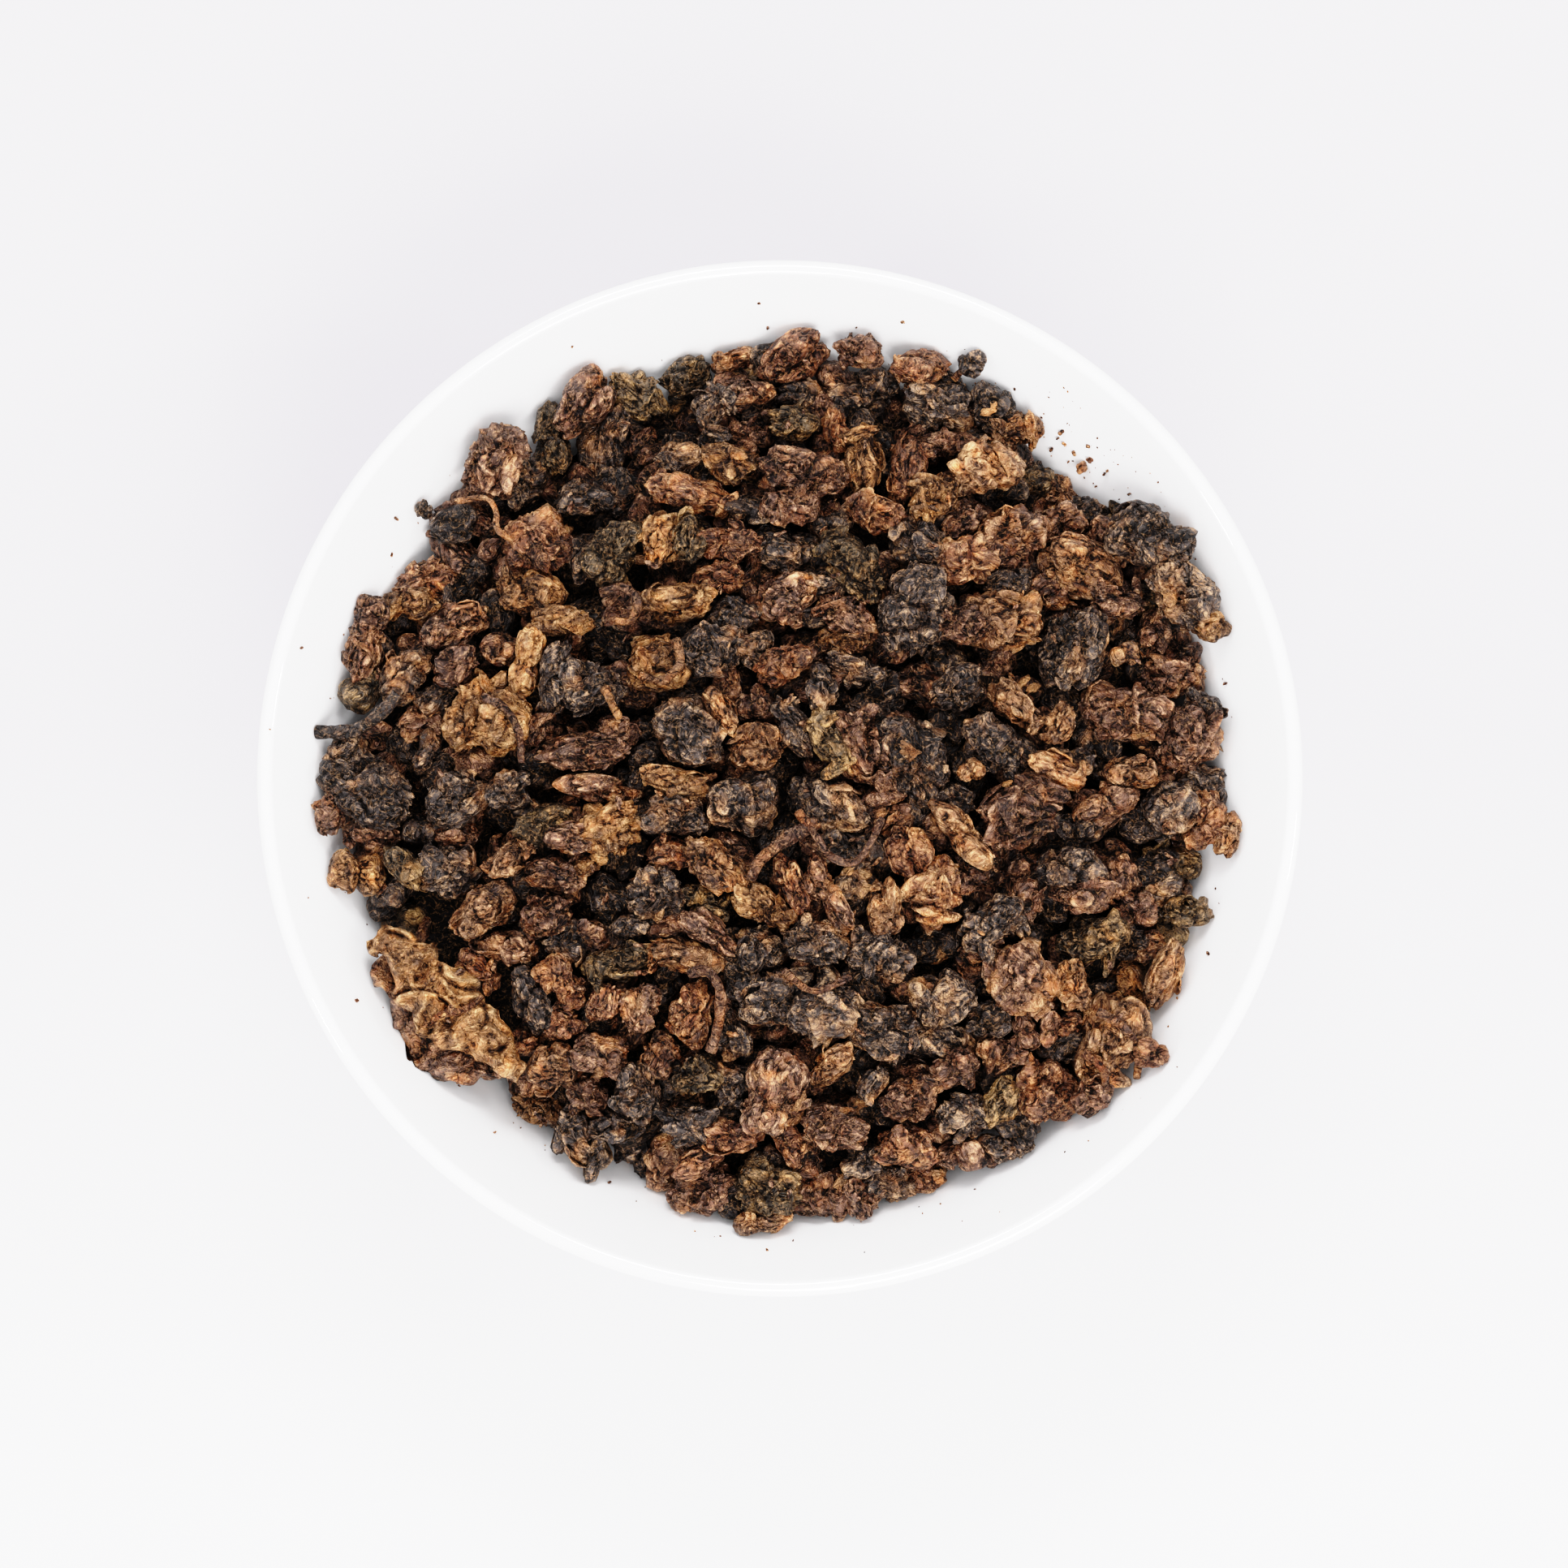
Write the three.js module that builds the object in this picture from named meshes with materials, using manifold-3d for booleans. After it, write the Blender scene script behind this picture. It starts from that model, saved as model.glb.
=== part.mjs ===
// Loose rolled oolong tea heaped in a small white porcelain bowl.
//
// Units are millimetres and +Z is up. The origin is the centre of the foot ring,
// on the plane the bowl stands on.
//
// Two separate things are modelled, and the tea only rests in the bowl:
//   bowl      one turned porcelain body: foot ring, rounded belly, open wall, thin round lip
//   tea_heap  the whole heap of rolled leaves out to its uneven outline: its underside
//             follows the bowl's inside, its top is a low mound of pellet-sized lumps
import * as THREE from 'three';
import { mergeVertices } from 'three/addons/utils/BufferGeometryUtils.js';
import Module from 'manifold-3d';

const wasm = await Module();
wasm.setup();

// ---- bowl -----------------------------------------------------------------------------
const RIM_OUTER_R = 54.0;      // widest radius, on the outside of the lip
const LIP_THICKNESS = 1.9;     // full thickness of the round lip
const BELLY_THICKNESS = 3.3;   // wall above the foot
const INSIDE_FLOOR_Z = 6.4;    // inside floor at the centre
const INSIDE_DEPTH = 35.0;     // inside floor to the start of the lip
const INSIDE_POWER = 2.2;      // inside profile z ~ r^2.2: nearly flat floor, wall that opens at about 35 degrees
const LIP_ARC_STEPS = 6;
const FOOT_OUTER_R = 20.6;
const FOOT_FLAT_OUTER_R = 19.9;
const FOOT_FLAT_INNER_R = 17.9;
const FOOT_INNER_R = 17.1;
const FOOT_JOIN_R = 22.6;      // where the belly turns down into the foot
const UNDERSIDE_Z = 3.1;       // recess under the base
const BOWL_SEGMENTS = 44;

// ---- heap -----------------------------------------------------------------------------
const HEAP_EDGE_R = 45.6;      // mean outline radius of the heap, seen from above
const MOUND_TOP_Z = 46.6;      // lump tops at the middle
const MOUND_EDGE_Z = 37.6;     // lump tops at the outline
const MOUND_POWER = 2.1;
const HEAP_GAP = 0.35;         // clearance between tea and glaze
const LUMP_RINGS = [1, 5, 10, 15, 21, 29]; // lumps in each ring, from the middle out
const LUMP_HALF_LENGTH = [4.8, 7.0];
const LUMP_ASPECT = [0.66, 0.92];
const LUMP_HALF_HEIGHT = [3.1, 4.1];
const LUMP_SIDES = 7;
const LUMP_BANDS = 4;
const LUMP_UNEVEN = 0.11;      // share by which a lump's surface wanders in and out
const LUMP_SINK = 1.3;         // how far a lump's top may lie under the mound's surface
const CORE_DEPTH = 3.7;        // top of the solid core, under the mound's surface
const CORE_TOP_R = 38.0;       // the core's top ends here and slopes down
const CORE_FOOT_R = 44.0;      // to the glaze here
const HEAP_SEGMENTS = 32;
const HEAP_FLOOR_RINGS = 6;
const HEAP_TOP_RINGS = 3;
const SLIVER = 0.6;           // facets finer than this are merged away
// Where the outline stands out or falls back: [angle deg, half-width deg, mm]
const OUTLINE_LOBES = [
  [25, 14, 2.2], [133, 8, 1.0], [168, 15, 1.4], [215, 9, 0.9], [266, 12, 2.4], [297, 8, 1.0], [320, 8, 3.4], [350, 7, 1.0],
  [2, 8, -1.4], [50, 10, -1.0], [105, 12, -1.2], [200, 7, -1.2], [231, 7, -1.8], [250, 8, -3.0],
];

function seeded(seed) {
  let s = seed >>> 0;
  return () => {
    s = (s + 0x6d2b79f5) >>> 0;
    let t = s;
    t = Math.imul(t ^ (t >>> 15), t | 1);
    t ^= t + Math.imul(t ^ (t >>> 7), t | 61);
    return ((t ^ (t >>> 14)) >>> 0) / 4294967296;
  };
}
const mix = ([lo, hi], t) => lo + (hi - lo) * t;

// The inside of the wall ends, and the lip starts, at this radius.
const lipSlope = (INSIDE_DEPTH * INSIDE_POWER) / 52.2;
const lipLean = 1 / Math.hypot(1, lipSlope);
const INSIDE_R = RIM_OUTER_R - (LIP_THICKNESS / 2) * (1 + lipSlope * lipLean);

const insideZ = (r) => INSIDE_FLOOR_Z + INSIDE_DEPTH * Math.pow(r / INSIDE_R, INSIDE_POWER);
const insideSlope = (r) => ((INSIDE_DEPTH * INSIDE_POWER) / INSIDE_R) * Math.pow(r / INSIDE_R, INSIDE_POWER - 1);
const wallThickness = (r) => LIP_THICKNESS + (BELLY_THICKNESS - LIP_THICKNESS) * Math.pow(1 - r / INSIDE_R, 0.8);

// ---- bowl profile: from the inside floor, up over the lip, down the outside to the foot --------
function bowlProfile() {
  const p = [];
  const insideSteps = 9;
  for (let i = 0; i <= insideSteps; i++) {
    const r = INSIDE_R * Math.pow(i / insideSteps, 0.85);
    p.push([r, insideZ(r)]);
  }
  // outward normal of the inside curve, pointing through the wall
  const through = (r) => {
    const m = insideSlope(r);
    const l = Math.hypot(1, m);
    return [m / l, -1 / l];
  };
  const n = through(INSIDE_R);
  const c = [INSIDE_R + (n[0] * LIP_THICKNESS) / 2, insideZ(INSIDE_R) + (n[1] * LIP_THICKNESS) / 2];
  const start = Math.atan2(-n[1], -n[0]);
  for (let i = 1; i < LIP_ARC_STEPS; i++) {
    const a = start - (Math.PI * i) / LIP_ARC_STEPS;
    p.push([c[0] + (Math.cos(a) * LIP_THICKNESS) / 2, c[1] + (Math.sin(a) * LIP_THICKNESS) / 2]);
  }
  const outsideSteps = 7;
  for (let i = 0; i <= outsideSteps; i++) {
    const r = INSIDE_R + (FOOT_JOIN_R - 1.6 - INSIDE_R) * (i / outsideSteps);
    const m = through(r);
    const t = wallThickness(r);
    p.push([r + m[0] * t, insideZ(r) + m[1] * t]);
  }
  const joinZ = p[p.length - 1][1];
  p.push([FOOT_OUTER_R + 0.75, joinZ - 1.0]);
  p.push([FOOT_OUTER_R + 0.35, joinZ - 2.3]);
  p.push([FOOT_OUTER_R, 0.9]);
  p.push([FOOT_FLAT_OUTER_R, 0]);
  p.push([FOOT_FLAT_INNER_R, 0]);
  p.push([FOOT_INNER_R, 0.8]);
  p.push([FOOT_INNER_R - 0.5, UNDERSIDE_Z - 0.5]);
  p.push([FOOT_INNER_R - 1.6, UNDERSIDE_Z]);
  p.push([0, UNDERSIDE_Z + 0.3]);
  return p;
}

function bowlGeometry() {
  return turned(bowlProfile().reverse(), BOWL_SEGMENTS);
}

// ---- heap ------------------------------------------------------------------------------
function outlineRadius(angle) {
  const deg = (angle * 180) / Math.PI;
  let r = HEAP_EDGE_R;
  for (const [at, half, out] of OUTLINE_LOBES) {
    let d = Math.abs(deg - at) % 360;
    if (d > 180) d = 360 - d;
    r += out * Math.exp(-((d / half) ** 2));
  }
  return r;
}

const moundZ = (r) => MOUND_TOP_Z - (MOUND_TOP_Z - MOUND_EDGE_Z) * Math.pow(Math.min(1, r / HEAP_EDGE_R), MOUND_POWER);
// The heap's underside, and the limit of every lump: the bowl's inside moved in by the clearance.
const floorZ = (r) => insideZ(r) + HEAP_GAP * Math.hypot(1, insideSlope(r));

function solid(geometry) {
  const g = geometry.clone();
  g.deleteAttribute('normal');
  g.deleteAttribute('uv');
  const m = mergeVertices(g, 1e-4);
  return new wasm.Manifold(new wasm.Mesh({ numProp: 3, vertProperties: m.attributes.position.array, triVerts: new Uint32Array(m.index.array) }));
}

// The largest body of a union, without the slivers and sealed pockets that crossing lumps leave.
function geometryOf(manifold) {
  const body = manifold.simplify(SLIVER).decompose().reduce((a, b) => (b.volume() > a.volume() ? b : a));
  const mesh = body.getMesh();
  const g = new THREE.BufferGeometry();
  g.setAttribute('position', new THREE.BufferAttribute(new Float32Array(mesh.vertProperties), 3));
  g.setIndex(new THREE.BufferAttribute(new Uint32Array(mesh.triVerts), 1));
  g.computeVertexNormals();
  return g;
}

function turned(profile, segments) {
  const g = new THREE.LatheGeometry(profile.map(([r, z]) => new THREE.Vector2(r, z)), segments);
  g.rotateX(Math.PI / 2);
  return g;
}

// One rolled leaf: an uneven ball, longer than wide, flattest side down.
function lumpGeometry(l, random) {
  const g = new THREE.SphereGeometry(1, LUMP_SIDES, LUMP_BANDS);
  g.deleteAttribute('normal');
  g.deleteAttribute('uv');
  const m = mergeVertices(g, 1e-4);
  const p = m.attributes.position;
  const v = new THREE.Vector3();
  for (let i = 0; i < p.count; i++) {
    v.fromBufferAttribute(p, i).multiplyScalar(1 + LUMP_UNEVEN * (2 * random() - 1));
    p.setXYZ(i, v.x, v.y, v.z);
  }
  m.scale(l.a, l.b, l.c);
  m.rotateY(l.lean);
  m.rotateZ(l.turn);
  m.translate(l.x, l.y, l.z);
  return m;
}

// Lumps stand in rough rings; the outermost ring follows the outline.
function lumps(random) {
  const made = [];
  LUMP_RINGS.forEach((count, ring) => {
    for (let i = 0; i < count; i++) {
      const angle = ((i + 0.5 * (ring % 2) + (random() - 0.5) * 0.5) / count) * 2 * Math.PI;
      const half = mix(LUMP_HALF_LENGTH, random() ** 1.4);
      const wide = half * mix(LUMP_ASPECT, random());
      const high = mix(LUMP_HALF_HEIGHT, random());
      const last = ring === LUMP_RINGS.length - 1;
      const r = last
        ? outlineRadius(angle) - wide - 0.6 * random()
        : ((HEAP_EDGE_R - LUMP_HALF_LENGTH[0]) * ring) / (LUMP_RINGS.length - 1) + (random() - 0.5) * 2.4;
      const z = moundZ(Math.abs(r) + wide * 0.5) - LUMP_SINK * random() - high * 0.92;
      const turn = last ? angle + (Math.PI / 2) * (0.7 + 0.6 * random()) : random() * Math.PI;
      made.push({ x: r * Math.cos(angle), y: r * Math.sin(angle), z, a: half, b: wide, c: high, turn, lean: (random() - 0.5) * 0.7 });
    }
  });
  return made;
}

function heapGeometry() {
  const random = seeded(20931);
  const core = [];
  for (let i = 0; i <= HEAP_FLOOR_RINGS; i++) {
    const r = (CORE_FOOT_R * i) / HEAP_FLOOR_RINGS;
    core.push([r, floorZ(r)]);
  }
  for (let i = HEAP_TOP_RINGS; i >= 0; i--) {
    const r = (CORE_TOP_R * i) / HEAP_TOP_RINGS;
    core.push([r, moundZ(r) - CORE_DEPTH]);
  }
  let heap = solid(turned(core, HEAP_SEGMENTS));
  for (const l of lumps(random)) heap = heap.add(solid(lumpGeometry(l, random)));
  const room = [];
  for (let i = 0; i <= 9; i++) {
    const r = INSIDE_R * Math.pow(i / 9, 0.8);
    room.push([r, floorZ(r) - 0.02]);
  }
  room.push([INSIDE_R, MOUND_TOP_Z + 20], [0, MOUND_TOP_Z + 20]);
  return geometryOf(heap.intersect(solid(turned(room, HEAP_SEGMENTS))));
}

const porcelain = new THREE.MeshStandardMaterial({ color: 0xf4f3f2, roughness: 0.12, metalness: 0 });
const leaf = new THREE.MeshStandardMaterial({ color: 0x5f4536, roughness: 0.62, metalness: 0 });

const bowl = new THREE.Mesh(bowlGeometry(), porcelain);
bowl.name = 'bowl';
const heap = new THREE.Mesh(heapGeometry(), leaf);
heap.name = 'tea_heap';

const part = new THREE.Group();
part.add(bowl, heap);

export default part;
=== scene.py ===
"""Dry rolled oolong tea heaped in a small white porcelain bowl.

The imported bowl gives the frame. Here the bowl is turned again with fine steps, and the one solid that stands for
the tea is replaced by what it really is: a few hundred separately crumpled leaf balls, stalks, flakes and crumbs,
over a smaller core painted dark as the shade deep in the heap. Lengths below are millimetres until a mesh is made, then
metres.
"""
import math

import bmesh
import bpy
import numpy as np
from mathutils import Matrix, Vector
from mathutils.bvhtree import BVHTree
from mathutils.kdtree import KDTree


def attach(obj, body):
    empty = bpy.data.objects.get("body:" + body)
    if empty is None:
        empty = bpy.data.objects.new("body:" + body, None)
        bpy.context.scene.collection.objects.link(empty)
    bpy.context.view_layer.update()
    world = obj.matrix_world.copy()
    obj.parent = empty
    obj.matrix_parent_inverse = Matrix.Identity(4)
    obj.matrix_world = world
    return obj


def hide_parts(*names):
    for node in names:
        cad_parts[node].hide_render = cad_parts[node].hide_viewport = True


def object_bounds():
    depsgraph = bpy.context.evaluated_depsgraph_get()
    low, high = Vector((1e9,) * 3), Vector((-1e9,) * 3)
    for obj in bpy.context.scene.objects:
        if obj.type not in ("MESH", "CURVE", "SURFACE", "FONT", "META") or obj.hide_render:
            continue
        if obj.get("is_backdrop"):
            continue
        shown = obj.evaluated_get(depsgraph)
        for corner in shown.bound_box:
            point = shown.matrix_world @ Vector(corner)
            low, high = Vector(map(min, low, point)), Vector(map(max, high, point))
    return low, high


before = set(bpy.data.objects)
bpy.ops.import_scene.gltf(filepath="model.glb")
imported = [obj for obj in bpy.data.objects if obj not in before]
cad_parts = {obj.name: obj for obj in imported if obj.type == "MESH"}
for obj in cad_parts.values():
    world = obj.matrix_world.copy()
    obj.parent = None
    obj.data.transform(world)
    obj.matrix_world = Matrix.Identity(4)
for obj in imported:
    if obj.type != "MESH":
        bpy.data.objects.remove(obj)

cad_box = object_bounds()
scene = bpy.context.scene
MM = 0.001

# ---- the bowl's named sizes, as in the model ----------------------------------------------
RIM_OUTER_R = 54.0
LIP_THICKNESS = 1.9
BELLY_THICKNESS = 3.3
INSIDE_FLOOR_Z = 6.4
INSIDE_DEPTH = 35.0
INSIDE_POWER = 2.2
FOOT_OUTER_R = 20.6
FOOT_FLAT_OUTER_R = 19.9
FOOT_FLAT_INNER_R = 17.9
FOOT_INNER_R = 17.1
FOOT_JOIN_R = 22.6
UNDERSIDE_Z = 3.1
LIP_SLOPE = (INSIDE_DEPTH * INSIDE_POWER) / 52.2
INSIDE_R = RIM_OUTER_R - (LIP_THICKNESS / 2) * (1 + LIP_SLOPE / math.hypot(1, LIP_SLOPE))

# ---- the heap's named sizes ----------------------------------------------------------------
HEAP_EDGE_R = 45.6
MOUND_TOP_Z = 46.4
MOUND_EDGE_Z = 37.8
MOUND_POWER = 2.1
CORE_DEPTH = 6.8       # top of the core, under the mound's surface
CORE_GAP = 0.25
OUTLINE = [(25, 14, 2.2), (133, 8, 1.0), (168, 15, 1.4), (215, 9, 0.9), (266, 12, 2.4), (297, 8, 1.0), (320, 8, 3.4),
           (350, 7, 1.0), (2, 8, -1.4), (50, 10, -1.0), (105, 12, -1.2), (200, 7, -1.2), (231, 7, -1.8), (250, 8, -3.0)]

# ---- camera: almost straight down, from the near side -----------------------------------------
PICTURE = 1932.0
PX_PER_MM = 11.94      # at the rim
ELEVATION = math.radians(82.5)
DISTANCE = 600.0
RIM_Z = 41.2
RIM_PX = (961.0, 951.5)


def inside_z(r):
    return INSIDE_FLOOR_Z + INSIDE_DEPTH * (np.maximum(r, 0.0) / INSIDE_R) ** INSIDE_POWER


def inside_slope(r):
    return (INSIDE_DEPTH * INSIDE_POWER / INSIDE_R) * (np.maximum(r, 0.0) / INSIDE_R) ** (INSIDE_POWER - 1)


def wall_thickness(r):
    return LIP_THICKNESS + (BELLY_THICKNESS - LIP_THICKNESS) * (1 - min(1.0, r / INSIDE_R)) ** 0.8


def mound_z(r):
    return MOUND_TOP_Z - (MOUND_TOP_Z - MOUND_EDGE_Z) * (np.minimum(r, HEAP_EDGE_R * 1.04) / HEAP_EDGE_R) ** MOUND_POWER


def outline_radius(angle):
    deg = np.degrees(angle)
    r = HEAP_EDGE_R
    for at, half, out in OUTLINE:
        d = np.abs(deg - at) % 360
        d = np.minimum(d, 360 - d)
        r = r + out * np.exp(-((d / half) ** 2))
    return r


# ---- camera ------------------------------------------------------------------------------------
AIM = np.array([(PICTURE / 2 - RIM_PX[0]) / PX_PER_MM, (RIM_PX[1] - PICTURE / 2) / PX_PER_MM / math.sin(ELEVATION), RIM_Z])
BACK = np.array([0.0, -math.cos(ELEVATION), math.sin(ELEVATION)])
UP = np.array([0.0, math.sin(ELEVATION), math.cos(ELEVATION)])
EYE = AIM + DISTANCE * BACK


def ray(px, py):
    """Direction from the eye through a point of the 1932-pixel picture."""
    u = (px - PICTURE / 2) / PX_PER_MM
    v = (PICTURE / 2 - py) / PX_PER_MM
    d = AIM + u * np.array([1.0, 0, 0]) + v * UP - EYE
    return d / np.linalg.norm(d)


def on_height(px, py, z):
    d = ray(px, py)
    return EYE + d * ((z - EYE[2]) / d[2])


def add_camera():
    cam = bpy.data.cameras.new("camera")
    cam.sensor_width = 36.0
    cam.lens = 36.0 * DISTANCE / (PICTURE / PX_PER_MM)
    cam.clip_start = 0.01
    cam.clip_end = 10.0
    ob = bpy.data.objects.new("camera", cam)
    ob.location = Vector(EYE * MM)
    ob.rotation_euler = (math.pi / 2 - ELEVATION, 0.0, 0.0)
    scene.collection.objects.link(ob)
    scene.camera = ob


# ---- noise ---------------------------------------------------------------------------------------
class Noise:
    """Smooth 3-D gradient noise, about -1 to 1."""

    def __init__(self, rng):
        self.perm = rng.permutation(256)
        g = rng.normal(size=(256, 3))
        self.grad = g / np.linalg.norm(g, axis=1, keepdims=True)

    def __call__(self, p):
        i = np.floor(p).astype(np.int64)
        f = p - i
        u = f * f * f * (f * (f * 6 - 15) + 10)
        out = np.zeros(len(p))
        for dx in (0, 1):
            hx = self.perm[(i[:, 0] + dx) & 255]
            wx = u[:, 0] if dx else 1 - u[:, 0]
            for dy in (0, 1):
                hy = self.perm[(hx + i[:, 1] + dy) & 255]
                wy = wx * (u[:, 1] if dy else 1 - u[:, 1])
                for dz in (0, 1):
                    g = self.grad[self.perm[(hy + i[:, 2] + dz) & 255]]
                    w = wy * (u[:, 2] if dz else 1 - u[:, 2])
                    out += w * (g[:, 0] * (f[:, 0] - dx) + g[:, 1] * (f[:, 1] - dy) + g[:, 2] * (f[:, 2] - dz))
        return out * 1.5


def unit(v):
    return v / np.linalg.norm(v, axis=-1, keepdims=True)


def ball(level):
    """Directions, triangles and edges of an icosphere."""
    bm = bmesh.new()
    bmesh.ops.create_icosphere(bm, subdivisions=level, radius=1.0)
    bm.verts.ensure_lookup_table()
    v = unit(np.array([x.co[:] for x in bm.verts]))
    f = np.array([[l.index for l in x.verts] for x in bm.faces])
    bm.free()
    return v, f, np.concatenate([f[:, [0, 1]], f[:, [1, 2]], f[:, [2, 0]]])


def blur(values, edges, rounds):
    n = len(values)
    deg = np.bincount(edges[:, 0], minlength=n) + np.bincount(edges[:, 1], minlength=n)
    s = values
    for _ in range(rounds):
        t = np.bincount(edges[:, 0], s[edges[:, 1]], n) + np.bincount(edges[:, 1], s[edges[:, 0]], n)
        s = 0.5 * s + 0.5 * t / deg
    return s


# ---- one rolled leaf --------------------------------------------------------------------------------
# lobes: balls that make the body; cells, crease: bulges between narrow creases; gyri, fold: winding folds;
# long, folds, twist: folds along the roll; ledge: leaf edges, steep on one side; cords: stalks and rolled
# edges bound round it; ridge, fine: thin winding ridges and the finest crumple
KINDS = {
    "w": dict(lobes=5, cells=9, crease=0.15, gyri=3.2, fold=0.20, long=0.0, folds=6, twist=0.3, ledge=0.11, cords=1, ridge=0.050, fine=0.022),
    "r": dict(lobes=3, cells=6, crease=0.10, gyri=2.6, fold=0.11, long=0.22, folds=9, twist=0.5, ledge=0.11, cords=1, ridge=0.045, fine=0.020),
    "p": dict(lobes=4, cells=5, crease=0.11, gyri=2.4, fold=0.13, long=0.08, folds=6, twist=0.8, ledge=0.20, cords=3, ridge=0.040, fine=0.018),
    "k": dict(lobes=6, cells=12, crease=0.15, gyri=3.6, fold=0.14, long=0.0, folds=6, twist=0.3, ledge=0.07, cords=0, ridge=0.055, fine=0.026),
    "s": dict(lobes=4, cells=6, crease=0.11, gyri=2.4, fold=0.09, long=0.06, folds=6, twist=0.5, ledge=0.13, cords=1, ridge=0.036, fine=0.016),
    "l": dict(lobes=4, cells=7, crease=0.13, gyri=3.0, fold=0.17, long=0.10, folds=7, twist=0.4, ledge=0.28, cords=1, ridge=0.055, fine=0.024),
}


def gyri(x, sharp=0.55):
    return np.abs(np.sin(math.pi * x)) ** sharp


def arc_distance(d, rng, turns):
    """How far each direction is from a wandering arc on the sphere, and the place along it."""
    a = unit(rng.normal(size=3))
    b = unit(np.cross(a, rng.normal(size=3)))
    c = np.cross(a, b)
    n = 60
    t = np.linspace(0, turns * 2 * math.pi, n)
    k = rng.uniform(-0.35, 0.35, 4)
    ph = rng.uniform(0, 6.28, 4)
    lat = rng.uniform(-0.45, 0.45) + k[0] * np.sin(t + ph[0]) + k[1] * np.sin(t * 2.3 + ph[1]) + 0.5 * k[2] * np.sin(t * 4.1 + ph[2])
    arc = np.outer(np.cos(lat) * np.cos(t), b) + np.outer(np.cos(lat) * np.sin(t), c) + np.outer(np.sin(lat), a)
    g = d @ arc.T
    i = g.argmax(1)
    return np.arccos(np.clip(g[np.arange(len(d)), i], -1, 1)), i / (n - 1.0)


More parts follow.
